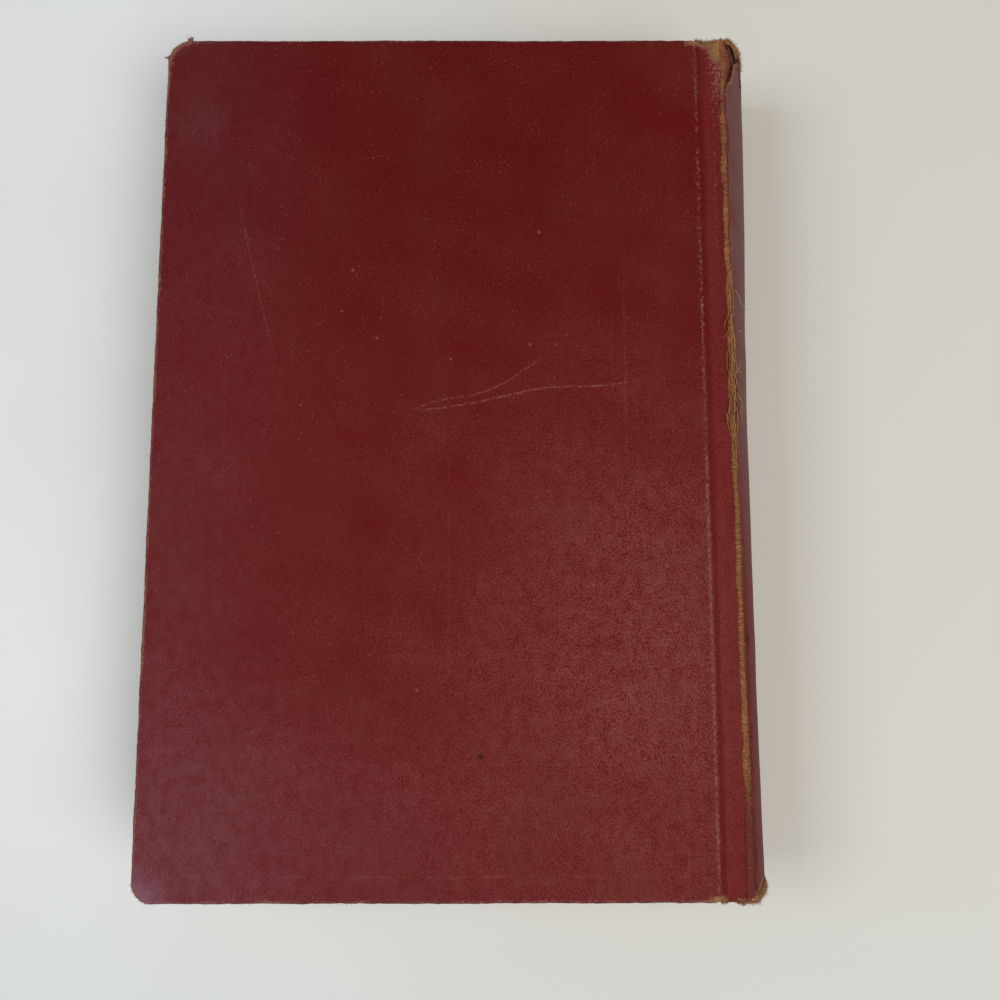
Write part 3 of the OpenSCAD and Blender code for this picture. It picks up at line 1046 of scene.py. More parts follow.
        # Painted highlight: how strongly the grain's tops are painted pale, most low on the cover's right and less
        # in the joint.
        dry = np.exp(-((x - 48) / 42) ** 2 - ((y + 42) / 48) ** 2)
        dry = 0.05 + 0.62 * dry + 0.16 * smooth(-y, 20, 90) + 0.05 * waves(x, y, 25, seed + 10)
        band = smooth(x, book.board_edge + 0.6, book.board_edge + 2)
        dry = dry * (1 - 0.30 * band) + band * (0.07 + 0.09 * waves(x, y * 0.04, 2.4, seed + 13))
        return {"rub": rub, "fade": fade, "old": np.zeros(x.shape), "grime_and_shade": soil,
                "dry": np.clip(dry, 0, 1)}


@dataclass
class SpineCloth:
    """Faded cloth of the spine, turned in over the card inlay at both ends."""

    book: Layout
    outline: Outline
    columns: int = 74

    def build(self) -> bpy.types.Object:
        """Runs the outline from tail to head and folds it inwards at both ends: each ring
        moves along the line's normal as it turns back. Beside the back ridge the line starts
        later where the cloth is torn, and its torn edge curls up.

        Returns:
            The spine's cloth.
        """
        book, line = self.book, self.outline
        share = np.linspace(0, 1, self.columns)
        share = share - 0.06 * np.sin(2 * np.pi * share)
        fold = 0.43 + 0.40 * (1 - smooth(np.abs(2 * share - 1), 0.72, 0.95))
        half_turn = np.radians(np.linspace(0, 180, 11))
        inset = np.concatenate([1 - np.sin(half_turn), np.full(6, 1.0)])
        plain = np.concatenate([np.zeros(11), np.linspace(0, book.turn_in - 1, 7)[1:]])
        sunk = np.concatenate([1 - np.cos(half_turn), np.full(6, 2.0)])
        reach = book.head - 0.86
        rows = np.concatenate([np.linspace(-1, 0.82, 165), np.linspace(0.82, 1, 50)[1:]])[1:-1]
        crushed = 0.5 + 2.1 * np.sqrt(smooth(np.minimum(share, 1 - share), -0.02, 0.3))
        ragged = 0.25 * waves(share * 35, share * 0, 1.4, 47)
        ends = book.head - (inset[:, None] * fold + plain[:, None])
        worn = (crushed + ragged) * (rows[:, None] < 0) * rows[:, None] ** 24
        y = np.concatenate([-ends[::-1] + crushed + ragged, rows[:, None] * reach + worn, ends])
        deep = sunk[:, None] * fold
        deep = np.concatenate([deep[::-1], np.zeros((len(rows), len(share))), deep])
        start = line.slit(y)[1]
        run = start + (line.length - 0.12 - start) * share
        run = np.where(run > 9, share * (line.length - 0.24) + 0.12, run)
        beside = run - start
        curl = 0.25 * bell(beside, 0.9) * smooth(start, 0.3, 1.2) * (deep < 0.5)
        lie = 0.05 * waves(y, run, 22, 41) - 0.3 * bell(np.abs(y) - book.head, 4) \
            * np.sin(np.pi * share)
        far = np.minimum(run, line.length - run)
        lie = lie * smooth(far, 0.3, 3.0) - 0.06 * bell(far, 1.5)
        points = line.at(run, y, curl + lie - deep)
        piece = Piece("spine_book_cloth")
        piece.add(points, lattice(*y.shape), across=run, along=y + deep,
                  **self.wear(y, run, deep, beside, start))
        return thicken(piece.make())

    def wear(self, y: np.ndarray, run: np.ndarray, deep: np.ndarray, beside: np.ndarray,
             start: np.ndarray) -> dict[str, np.ndarray]:
        """Rubbed ridges, ends and torn edge, and light that has faded the spine all over.

        Args:
            y: Place along the spine.
            run: Place round it.
            deep: Depth of the turned-in cloth.
            beside: Distance from the torn edge.
            start: Width of the tear.

        Returns:
            The fields rub, fade, old, grime and dry, each about 0 to 1.
        """
        book, line = self.book, self.outline
        far = np.minimum(run, line.length - run)
        rub = bell(far, 1.0) * (0.25 + 0.15 * waves(y, run, 4, 43))
        crushed = np.where(y < 0, 2.2, 0.4) * smooth(far, 0, 8)
        end = 1 - smooth(book.head - np.abs(y) - crushed, 0.6, np.where(y < 0, 4.2, 2.9))
        rub = np.maximum(rub, end * (1.45 + 0.2 * waves(y, run, 3, 44)))
        torn = (1 - smooth(beside, 0.8, 2.8)) * smooth(start, 0.3, 1.0)
        rub = np.maximum(rub, 0.85 * torn) * (deep < 0.9)
        # Painted shade: the cloth is darkened right along the torn edge, at the lip of the tear.
        dirt = (1 - smooth(beside, 0.05, 0.35)) * smooth(start, 0.4, 1.0)
        old = smooth(far, 0.0, 0.5) * (0.95 + 0.1 * waves(y, run, 12, 45))
        old = old * (1 - 0.85 * smooth(-y, -20, 45) * (1 - smooth(run, 8, 15)))
        stain = smooth(waves(y, run * 2, 4, 46), 0.1, 0.8) * smooth(-y, 50, 80)
        # Painted shade: a dark slit painted across the cloth by the back ridge, and a broad painted shadow beside
        # the ridge in the lower half of the spine.
        slot = bell(run - 0.45, 0.32) * smooth(y, 6.5, 8.5) * (1 - smooth(y, 13.5, 15))
        shadow = (0.38 + 0.10 * waves(y, run, 9, 48)) * bell(run - 1.9, 2.1) \
            * smooth(-y, 0, 50)
        # The last field, a constant, is a painted highlight on the grain's tops.
        return {"rub": rub, "fade": 0.3 * torn, "old": np.clip(old, 0, 1),
                "grime_and_shade": np.max([0.5 * stain * smooth(run, 5.0, 2.0), slot, shadow, dirt], 0),
                "dry": np.full(y.shape, 0.2)}


@dataclass
class SpineCard:
    """The card inlay, which follows the spine's cloth from inside."""

    book: Layout
    outline: Outline

    def build(self) -> bpy.types.Object:
        """Closes a tube of four sides whose ends draw in to a line.

        Returns:
            The card.
        """
        reach = self.book.head - 0.9
        run = np.linspace(0.5, self.outline.length - 2.0, 50)
        y = np.linspace(2.9 - reach, reach, 90)
        face = self.outline.at(run[None, :], y[:, None], -0.85)
        back = self.outline.at(run[None, :], y[:, None], -1.4)
        loop = np.concatenate([face, back[:, ::-1]], 1)
        ends = (face + back) / 2
        ends = np.concatenate([ends, ends[:, ::-1]], 1)
        points = np.concatenate([ends[:1], loop, ends[-1:]])
        piece = Piece("spine_card")
        piece.add(points, lattice(*points.shape[:2], ring=True))
        return piece.make()


@dataclass(frozen=True)
class Yarn:
    """Worn cotton threads, from golden to the brown of old dirt."""

    name: str
    pale: Colour = (0.46, 0.225, 0.078)
    dark: Colour = (0.115, 0.034, 0.016)
    red: Colour = (0.135, 0.020, 0.017)
    twist: float = 0.35
    bleached: Colour = (0.42, 0.32, 0.29)

    def build(self) -> bpy.types.Material:
        """Each thread has its own tone, and fine noise breaks it up along its length.

        Returns:
            The material.
        """
        shade = Shade(self.name)
        where = shade.place()
        tone, stripe = shade.value("tone"), shade.value("stripe")
        fine = shade.noise(where, self.twist, 2.0, 0.7)
        mixed = shade.plus(tone, shade.times(shade.minus(fine, 0.5), 0.9))
        flecks = shade.plus(stripe, shade.times(shade.minus(shade.noise(where, 0.55, 2.0, 0.7), 0.5), 0.9))
        colour = shade.coats(
            self.dark, (shade.step(mixed, 0.05, 0.95), self.pale),
            (shade.step(tone, 1.3, 1.8), self.bleached), (shade.step(flecks, 0.32, 0.68), self.red))
        return shade.finish(colour, 0.85, shade.bump(fine, 0.05, 0.8), Specular_IOR_Level=0.2)


@dataclass
class Fibres:
    """Loose fibres, each a thin tapered tube of three sides."""

    piece: Piece
    rng: np.random.Generator

    def tubes(self, paths: np.ndarray, radius: np.ndarray, tone: np.ndarray) -> None:
        """Adds one tube for each path, closed to a point at both ends.

        Args:
            paths: Paths of the same number of points each.
            radius: Radius of each tube.
            tone: Paleness of each tube.
        """
        count, steps, _ = paths.shape
        along = np.gradient(paths, axis=1)
        along /= np.linalg.norm(along, axis=2, keepdims=True) + 1e-9
        side = np.cross(along, [0.13, 0.21, 0.97])
        side /= np.linalg.norm(side, axis=2, keepdims=True) + 1e-9
        over = np.cross(along, side)
        taper = np.concatenate([[0.0], np.linspace(1, 0.75, steps - 2), [0.0]])
        size = radius[:, None, None, None] * taper[None, :, None, None]
        a = (2 * np.pi * np.arange(3) / 3)[None, None, :, None]
        ring = paths[:, :, None] + size * (np.cos(a) * side[:, :, None] + np.sin(a) * over[:, :, None])
        quads = lattice(steps, 3, ring=True)
        quads = (quads[None] + (np.arange(count) * steps * 3)[:, None, None]).reshape(-1, 4)
        self.piece.add(ring, quads, tone=np.repeat(tone, steps * 3), stripe=0.0)

    def tuft(self, edge: np.ndarray, facing: np.ndarray, count: int, length: float,
             spread: float = 0.6, radius: float = 0.05, tone: float = 0.5) -> None:
        """Adds short fibres that leave an edge, each bent sideways as the square of its length.

        Args:
            edge: Points of the edge.
            facing: Direction that they leave it in, one for the whole edge or one a point.
            count: Number of fibres.
            length: Mean length.
            spread: How far their directions vary.
            radius: Mean radius.
            tone: Mean paleness.
        """
        rng = self.rng
        place = rng.uniform(0, len(edge) - 1, count)
        facing = np.broadcast_to(np.asarray(facing, float), edge.shape)
        index = np.arange(len(edge))
        root = np.stack([np.interp(place, index, edge[:, k]) for k in range(3)], -1)
        way = np.stack([np.interp(place, index, facing[:, k]) for k in range(3)], -1)
        way = way + rng.normal(0, spread, (count, 3)) * [1, 1, 0.6]
        way /= np.linalg.norm(way, axis=1, keepdims=True)
        bend = rng.normal(0, 0.55, (count, 3)) - [0, 0, 0.25]
        reach = length * np.minimum(rng.gamma(3.0, 1 / 3.0, count), 2.3)[:, None, None]
        t = np.linspace(-0.15, 1, 5)[None, :, None]
        paths = root[:, None] + reach * (t * way[:, None] + t * np.abs(t) * bend[:, None] * 0.6)
        tones = np.clip(rng.normal(tone, 0.28, count), 0, 1)
        tones = np.where(rng.random(count) < 0.1 * (tone > 0.5), 1.6, tones)
        self.tubes(paths, radius * rng.uniform(0.6, 1.3, count), tones)

    def thread(self, points: list[tuple[float, float, float]], radius: float, tone: float,
               waver: float = 0.12, steps: int = 60) -> None:
        """Adds one long thread through points, by cubic curves that meet smoothly.

        Args:
            points: Places that it passes.
            radius: Its radius.
            tone: Its paleness.
            waver: How far it strays between the points.
            steps: Number of points along it.
        """
        knots = np.array(points, float)
        knots = np.concatenate([2 * knots[:1] - knots[1:2], knots, 2 * knots[-1:] - knots[-2:-1]])
        t = np.linspace(0, len(points) - 1 - 1e-6, steps)
        k = t.astype(int)
        u = (t - k)[:, None]
        a, b, c, d = knots[k], knots[k + 1], knots[k + 2], knots[k + 3]
        path = 0.5 * (2 * b + (c - a) * u + (2 * a - 5 * b + 4 * c - d) * u ** 2
                      + (3 * b - a - 3 * c + d) * u ** 3)
        seed = int(self.rng.integers(1e6))
        for axis in range(2):
            path[:, axis] += waver * waves(t * 3, t * 0, 2.4, seed + axis)
        self.tubes(path[None], np.array([radius]), np.array([tone]))


@dataclass
class JointFray:
    """The worn line along a ridge, where the cloth has broken through to its threads."""

    book: Layout
    outline: Outline
    side: Side

    def build(self) -> bpy.types.Object:
        """A lens of cloth along the ridge whose width and height change from thread to thread,
        with a fringe at both ends, and on the back the loose threads that lie about it.

        Returns:
            The fray.
        """
        book, line = self.book, self.outline
        rng = np.random.default_rng(self.side.seed + 60)
        wide = 1.0 if self.side is Side.BACK else 0.45
        y = np.arange(-book.head + 1.2, book.head - 0.5, 0.21)
        each = rng.normal(0, 1, (4, len(y)))
        fade = 1 + 0.25 * smooth(y, 45, 80) + 0.30 * smooth(-y, 50, 80)
        left = 0.84 + 0.08 * each[0] + 0.16 * waves(y, y * 0, 16, 61)
        right = 0.70 + 0.08 * each[1] + 0.12 * waves(y, y * 0, 11, 62)
        left, right = (wide * fade * np.clip(v, 0.15, 2) for v in (left, right))
        centre = -0.22 - 0.33 * y / book.head + 0.1 * waves(y, y * 0, 30, 63)
        centre = centre - 0.55 * bell(y - 11, 7)
        if self.side is Side.FRONT:
            centre = centre * 0
        else:
            torn = smooth(y, book.head - 16, book.head - 12)
            far = line.slit(y)[0] + 0.12 * each[1]
            right = right + (far - centre - right) * torn
            left = left * (1 - 0.75 * smooth(y, book.head - 18, book.head - 12))
        left[[0, -1]] = right[[0, -1]] = 0
        v = np.array([-1, -0.75, -0.4, 0, 0.4, 0.75, 1.0, 0.5, 0, -0.5])
        reach = np.where(v[None, :] < 0, left[:, None], right[:, None])
        calm = 1 - 0.8 * smooth(y, book.head - 18, book.head - 12)
        each[2:] *= calm
        lift = 0.14 * np.sqrt(np.clip(1 - v ** 2, 0, 1))[None, :] * (1 + 0.2 * each[2][:, None])
        lift = np.where(np.arange(10)[None, :] > 6, -0.12, lift) - 0.03
        lift[[0, -1]] = -0.08
        run = centre[:, None] + v[None, :] * reach
        points = line.at(run, y[:, None], lift)
        tone = np.clip(0.46 + 0.09 * each[3], 0, 1)[:, None] * (0.95 - 0.2 * v - 0.3 * v ** 2)
        blotch = 0.18 * waves(y, y * 0, 5, 64) * smooth(-y, 30, 60)
        tone = tone * (0.38 + 0.62 * smooth(y, -92, -70) + blotch)[:, None]
        red = 0.30 + 0.30 * smooth(-y, 72, 92) + 0.14 * smooth(y, 45, 75)
        red = red + 0.07 * waves(y, y * 0, 7, 65)
        red = red[:, None] + (0.34 - 0.2 * smooth(-y, 60, 85))[:, None] * v ** 2
        piece = Piece(f"{self.side.value}_joint_fray")
        piece.add(points, lattice(*run.shape, ring=True), tone=tone, stripe=red)
        fibres = Fibres(piece, rng)
        count = 3000 if self.side is Side.BACK else 700
        edge = line.at(centre, y, 0.10)
        for low, high, share, tone in ((-101, -84, 0.10, 0.3), (-84, book.head - 17, 1.0, 0.5),
                                       (book.head - 17, book.head - 2, 0.03, 0.5)):
            part = edge[(y > low) & (y < high)]
            for way in (-0.8, 0.8):
                fibres.tuft(part, (way, 0.4, 0.02), int(count * share / 2), 0.55 * wide, 0.35, 0.045,
                            tone)
        if self.side is Side.BACK:
            self.bundle(fibres)
        for sign, count in ((1, 300), (-1, 200)):
            tip = line.at(np.linspace(-1.5, 1.2, 6), np.full(6, sign * (book.head - 0.7)), -0.1)
            fibres.tuft(tip, (0, sign, 0.25), count, 0.5, 0.4, 0.055, 0.6)
        return piece.make(self.side is Side.FRONT, book.middle)

    def bundle(self, fibres: Fibres) -> None:
        """The loose threads half-way along the back joint, which loop out and cross.

        Args:
            fibres: Where they go.
        """
        line = self.outline
        rng = fibres.rng

        def on(x: float, y: float, up: float) -> tuple[float, float, float]:
            """A place over the cloth, x from the ridge and y along it."""
            return tuple(line.at(np.array(x), np.array(y), np.array(up)))

        for start, end, lean in ((46, -7, 0.0), (44, 2, 0.3), (40, 6, -0.3), (33, -3, 0.15),
                                 (30, 10, 0.5), (26, 0, -0.15)):
            stations = np.linspace(start, end, 10)
            stray = lean + 0.32 * rng.normal(0, 1, 10)
            fibres.thread([on(s - 0.2, y, 0.2 + 0.12 * abs(s)) for s, y in zip(stray, stations)],
                          0.11, rng.uniform(0.35, 0.85), 0.1, 90)
        for loop in (
                [(-0.3, 34, 0.2), (-1.0, 32, 0.5), (-1.9, 29.5, 0.35)],
                [(-0.2, 31, 0.2), (-0.9, 28.5, 0.4), (-2.2, 26.8, 0.3)],
                [(-0.2, 26, 0.3), (-1.2, 23, 0.6), (-1.3, 19, 0.5), (-0.2, 16, 0.3)],
                [(0.1, 18.5, 0.3), (0.8, 18.2, 0.6), (2.6, 18.7, 0.5)],
                [(0.1, 18.0, 0.4), (0.9, 19.0, 0.7), (1.7, 20.6, 0.5), (1.9, 21.4, 0.4)],
                [(0.3, 17, 0.3), (0.9, 14, 0.5), (0.1, 11, 0.4), (-1.0, 9, 0.6), (-1.6, 6, 0.4),
                 (-2.0, 7.5, 0.5), (-2.4, 8.8, 0.4)],
                [(-0.1, 14, 0.3), (-1.1, 10, 0.6), (-1.7, 6.5, 0.5), (-1.2, 3.2, 0.4),
                 (-0.4, 1.5, 0.3)],
                [(0.5, 13, 0.3), (1.3, 11.5, 0.7), (1.6, 8.8, 0.6), (1.3, 6.2, 0.4), (0.4, 4, 0.3)],
                [(0.7, 12, 0.4), (1.6, 10.5, 0.6), (1.0, 8.5, 0.6), (1.7, 7.2, 0.5)]):
            fibres.thread([on(*p) for p in loop], 0.10, rng.uniform(0.5, 0.95), 0.05, 40)
        fibres.thread([on(0.9, 39, 0.2), on(2.2, 37.6, 0.4), on(4.2, 35.6, 0.6), (72.2, 34.3, 30.6)],
                      0.07, 2.0, 0.05, 40)
        fibres.thread([on(1.2, 28.6, 0.3), on(2.2, 28.8, 0.6), on(3.2, 28.4, 0.4)], 0.06, 2.0)


@dataclass
class EndFray:
    """Broken fibres at the head and tail of a joint and at the corners of a board."""

    book: Layout
    outline: Outline

    def cover(self, side: Side) -> bpy.types.Object:
        """Fibres on a cover: the ends of its joint, its fore corners, and a sparse fuzz along
        its edges.

        Args:
            side: Which cover.

        Returns:
            The fibres.
        """
        book, line = self.book, self.outline
        piece = Piece(f"{side.value}_cover_fray")
        fibres = Fibres(piece, np.random.default_rng(side.seed + 80))
        x = np.linspace(book.board_edge + 0.3, book.hinge_x - 1.3, 12)
        z = np.interp(x, line.joint[:, 0], line.joint[:, 1]) - 0.35
        for sign, first, last, count, length in ((1, 0, 12, 620, 0.42), (-1, 0, 4, 170, 0.35),
                                                 (-1, 8, 12, 260, 0.45)):
            edge = np.stack([x, np.full(12, sign * (book.head - 0.4)), z], -1)[first:last]
            fibres.tuft(edge, (0.0, sign, 0.2), count, length, 0.45, 0.06, 0.52)
            edge += [0, -0.8 * sign, 0.3]
            fibres.tuft(edge, (0.0, sign, 0.1), count, 0.5, 0.45, 0.05, 0.6)
        for sign, radius in ((1, book.head_corner), (-1, book.tail_corner)):
            a = np.radians(np.linspace(5, 85, 12))
            ring = np.stack([-np.cos(a), sign * np.sin(a), np.zeros(12)], -1)
            edge = ring * (radius - 0.15) + [book.fore + radius, sign * (book.head - radius),
                                             book.top - 0.8]
            fibres.tuft(edge, ring + [0, 0, 0.1], 150, 0.28, 0.5, 0.04, 0.6)
            if sign > 0:
                for k, reach in ((1, 0.35), (11, 0.6)):
                    spot = np.repeat(edge[k:k + 1], 2, 0) + [[-0.5, 0, 0], [0.6, 0, 0]]
                    fibres.tuft(spot, ring[k] + [0.1, 0, 0.1], 110, reach, 0.2, 0.08, 0.45)
        near, far = book.fore + 0.12, book.head - 0.12
        rail = np.linspace(-far + 4, far - 4, 9)
        level = np.full(9, book.top - 0.75)
        fibres.tuft(np.stack([np.full(9, near), rail, level], -1), (-1, 0, 0.3), 420, 0.24, 0.5,
                    0.03, 0.4)
        rail = np.linspace(book.fore + 4, book.board_edge, 9)
        for sign in (-1, 1):
            fibres.tuft(np.stack([rail, np.full(9, sign * far), level], -1), (0, sign, 0.3), 230,
                        0.24, 0.5, 0.03, 0.4)
        return piece.make(side is Side.FRONT, book.middle)

    def spine(self) -> bpy.types.Object:
        """Fibres at the head and tail of the spine's cloth and round the tear.

        Returns:
            The fibres.
        """
        book, line = self.book, self.outline
        piece = Piece("spine_fray")
        fibres = Fibres(piece, np.random.default_rng(91))
        for sign, runs, count, length in ((1, (0.9, 8), 1100, 0.45), (-1, (0.9, 9), 3000, 0.5),
                                          (1, (8, 34), 420, 0.35), (-1, (9, 34), 420, 0.35)):
            run = np.linspace(*runs, 16)
            worn = 0.35 if sign > 0 else 0.8 + 2.0 * smooth(np.minimum(run, line.length - run), 0, 9)
            edge = line.at(run, sign * (book.head - worn), -0.15)
            facing = line.at(run, run * 0, 1) - line.at(run, run * 0, 0)
            fibres.tuft(edge, facing * 0.35 + [0, sign, 0], count, length, 0.5, 0.06, 0.6)
            edge = line.at(run, sign * (book.head - worn - 0.9), 0.02)
            fibres.tuft(edge, facing * 0.1 + [0, sign, 0], count, length * 1.4, 0.35, 0.055, 0.66)
        y = np.linspace(book.head - 13.5, book.head - 1.2, 14)
        lip = line.at(line.slit(y)[1] + 0.1, y, 0.1)
        fibres.tuft(lip, (-0.5, 0.2, 0.3), 150, 0.3, 0.6, 0.035, 0.8)
        return piece.make()


@dataclass
class Band:
    """A headband or tailband: silk wound over a cord, on a tape glued behind the leaves."""

    book: Layout
    head: bool
    wraps: int = 46
    around: int = 14

    def build(self) -> bpy.types.Object:
        """Sweeps a ring about the spine's curve. The ring swells and narrows with every wrap by
        half a sine wave, and every other wrap is red.

        Returns:
            The band.
        """
        book = self.book
        name = "headband" if self.head else "tailband"
        low, high = box_mm(name)
        way = 1.0 if self.head else -1.0
        bead = 0.9
        reach = high[0] - book.spine_x - bead
        angle = math.degrees(math.asin((high[2] - book.middle - 0.3) / (reach + bead)))
        rows = self.wraps * 5 + 1
        t = np.linspace(0, 1, rows)
        a = np.radians(angle * (1 - 2 * t))
        swell = 0.86 + 0.14 * np.abs(np.sin(np.pi * self.wraps * t))
        swell[[0, -1]] = 0
        b = 2 * np.pi * np.arange(self.around) / self.around
        size = bead * swell[:, None]
        radius = reach + size * np.cos(b)
        y = way * (book.leaf_head + bead + size * np.sin(b))
        x = book.spine_x + radius * np.cos(a)[:, None]
        z = book.middle + radius * np.sin(a)[:, None]
        wrap = np.minimum((t * self.wraps).astype(int), self.wraps - 1)
        stripe = np.broadcast_to((wrap % 2 < 1)[:, None], x.shape).astype(float)
        piece = Piece("striped_" + name)
        piece.add(np.stack([x, y, z], -1), lattice(rows, self.around, flip=self.head, ring=True),
                  tone=0.9, stripe=stripe)
        a = a[::6]
        radius = reach + bead + np.array([-0.3, 0.0, 0.0, -0.3])
        y = way * (book.leaf_head + bead - np.array([11.0, 11.0, 0.9, 0.9]))
        tape = np.stack([book.spine_x + radius * np.cos(a)[:, None],
                         np.broadcast_to(y, (len(a), 4)),
                         book.middle + radius * np.sin(a)[:, None]], -1)
        tape[[0, -1]] = tape[[0, -1]].mean(1, keepdims=True)
        piece.add(tape, lattice(len(a), 4, flip=self.head, ring=True), tone=0.6, stripe=0.0)
        return piece.make()


@dataclass
class Leaves:
    """The sewn leaves: every leaf's edge a shade longer or shorter than its neighbour's."""

    book: Layout
    leaves: int = 150
    seed: int = 7

    def steps(self) -> tuple[np.ndarray, np.ndarray]:
        """How far each leaf stands out. Leaves sewn in one section go together.

        Returns:
            Place through the thickness from -1 to 1, and the offset there.
        """
        rng = np.random.default_rng(self.seed)
        section = np.repeat(rng.normal(0, 0.10, 16), math.ceil(self.leaves / 16))[:self.leaves]
        leaf = section + rng.normal(0, 0.035, self.leaves)
        place = np.linspace(-1, 1, self.leaves + 1)
        gap = 0.22 * 2 / self.leaves
        v = np.stack([place[:-1] + gap, place[1:] - gap, place[1:]], -1).ravel()[:-1]
        out = np.stack([leaf, leaf, leaf - 0.16], -1).ravel()[:-1]
        return v, out

    def build(self) -> bpy.types.Object:
        """Closes a block round three fields. Across the thickness a leaf's height is its
        share of the half thickness, swelling to the shoulder by half a cosine wave.

        Returns:
            The block of leaves.
        """
        book = self.book
        v, out = self.steps()
        half = book.leaf_top - 0.2 - book.middle
        swell = book.groove - book.ridge_drop
        radius = box_mm("text_block")[1, 0] - book.spine_x
        height = v * half
        x0 = book.leaf_fore + np.sqrt(radius ** 2 - height ** 2) - math.sqrt(radius ** 2 - half ** 2)
        x1 = book.spine_x + np.sqrt(radius ** 2 - (v * (half + swell)) ** 2)
        u = np.concatenate([np.linspace(0, 0.94, 34), np.linspace(0.94, 1, 12)[1:]])
        x = x0[:, None] + (x1 - x0)[:, None] * u
        share = np.clip((x - book.groove_x) / (book.hinge_x - book.groove_x), 0, 1)
        z = book.middle + v[:, None] * (half + swell * (1 - np.cos(np.pi * share)) / 2)
        push = out[:, None] * (0.4 + 0.6 * (1 - smooth(u, 0.93, 1.0)))
        head = book.leaf_head - 0.15 + push + 0.05 * waves(x, z * 4, 30, 52)
        tail = -(book.leaf_head - 0.15) - push * 0.8 + 0.05 * waves(x, z * 4, 30, 53)
        piece = Piece("page_block")
        tone = np.broadcast_to(v[:, None], x.shape)
        for y, flip in ((head, True), (tail, False)):
            piece.add(np.stack([x, y, z], -1), lattice(*x.shape, flip=flip), leaf=tone, cut=1.0)
        w = np.linspace(0, 1, 50)
        for k, flip in ((0, True), (-1, False)):
            y = tail[:, k, None] + (head[:, k] - tail[:, k])[:, None] * w
            ease = np.minimum(1, np.minimum(w, 1 - w) * 40)
            shift = (-out[:, None] * 0.9 - 0.06 * waves(y, v[:, None] * 40, 40, 54)) * ease
            shift[[0, -1]] = 0
            side = np.broadcast_to(x[:, k, None], y.shape) + shift * (k == 0)
            up = np.broadcast_to(z[:, k, None], y.shape)
            piece.add(np.stack([side, y, up], -1), lattice(*y.shape, flip=flip),
                      leaf=np.broadcast_to(v[:, None], y.shape), cut=1.0 + k)
        for k, flip in ((0, False), (-1, True)):
            y = tail[k, :, None] + (head[k] - tail[k])[:, None] * w
            face = np.stack([np.broadcast_to(x[k, :, None], y.shape), y,
                             np.broadcast_to(z[k, :, None], y.shape)], -1)
            piece.add(face, lattice(*y.shape, flip=flip), leaf=v[k], cut=0.0)
        return piece.make()


@dataclass(frozen=True)
class LeafEdges:
    """Toned paper, with painted shade in the gaps between the leaves and dust at the head."""

    name: str = "leaf_edges"
    paper: Colour = (0.60, 0.49, 0.33)
    toned: Colour = (0.37, 0.25, 0.13)

    def build(self) -> bpy.types.Material:
        """Lines run along the leaves: noise over the leaf's number and, far slower, along it.

        Returns:
            The material.
        """
        shade = Shade(self.name)
        where = shade.place()
        x, y, _ = shade.split(where)
        leaf, cut = shade.value("leaf"), shade.value("cut")
        along = shade.times(shade.plus(x, y), 0.02)
        streak = shade.node("CombineXYZ", {0: shade.times(leaf, 90.0), 1: along})
        lines = shade.noise(streak, 1.0, 3.0, 0.7)
        broad = shade.node("CombineXYZ", {0: shade.times(leaf, 9.0), 1: along})
        bands = shade.noise(broad, 1.0, 2.0)
        stain = shade.noise(where, 14, 4.0, 0.6)
        fox = shade.step(shade.noise(where, 1.4, 2.0, 0.5), 0.70, 0.78)
        # Painted shade: the toned colour left between the lines stands for shade in the gaps between leaves; the
        # broad bands, stains and foxing are the paper's own tone.
        colour = shade.coats(
            self.toned, (shade.step(lines, 0.35, 0.65), self.paper),
            (shade.step(bands, 0.4, 0.7, 0.0, 0.4), self.toned),
            (shade.step(stain, 0.5, 0.8, 0.0, 0.5), (0.33, 0.22, 0.12)),
            (shade.times(fox, 0.5), (0.24, 0.12, 0.05)))
        normal = shade.bump(shade.times(lines, cut), 0.12, 0.8)
        return shade.finish(colour, 0.85, normal, Specular_IOR_Level=0.2)


@dataclass(frozen=True)
class Paper:
    """Plain paper or card, toned towards its edges and flecked with age."""

    name: str
    colour: Colour
    toned: Colour
    fibre: float = 0.5

    def build(self, book: Layout) -> bpy.types.Material:
        """The tone deepens by a smooth step of the distance from the leaf's middle.

        Args:
            book: The book's measures.

        Returns:
            The material.
        """
        shade = Shade(self.name)
        where = shade.place()
        x, y, _ = shade.split(where)
        off_x = shade.math("DIVIDE", shade.math("ABSOLUTE", shade.plus(x, 3.0)), 70.0)
        off_y = shade.math("DIVIDE", shade.math("ABSOLUTE", y), book.leaf_head)
        far = shade.greater(off_x, off_y)
        mottle = shade.noise(where, 9, 5.0, 0.6)
        edge = shade.step(shade.plus(far, shade.times(mottle, 0.2)), 0.85, 1.2)
        fox = shade.step(shade.noise(where, 2.2, 2.0, 0.5), 0.72, 0.80, 0.0, 0.5)
        fibres = shade.noise(shade.place((1, 0.35, 1)), self.fibre, 3.0, 0.6)
        colour = shade.coats(
            self.colour, (edge, self.toned), (shade.step(mottle, 0.45, 0.8, 0.0, 0.35), self.toned),
            (fox, (0.36, 0.20, 0.09)), (shade.step(fibres, 0.3, 0.8, 0.0, 0.18), self.toned))
        return shade.finish(colour, 0.88, shade.bump(fibres, 0.04, 0.6), Specular_IOR_Level=0.2)


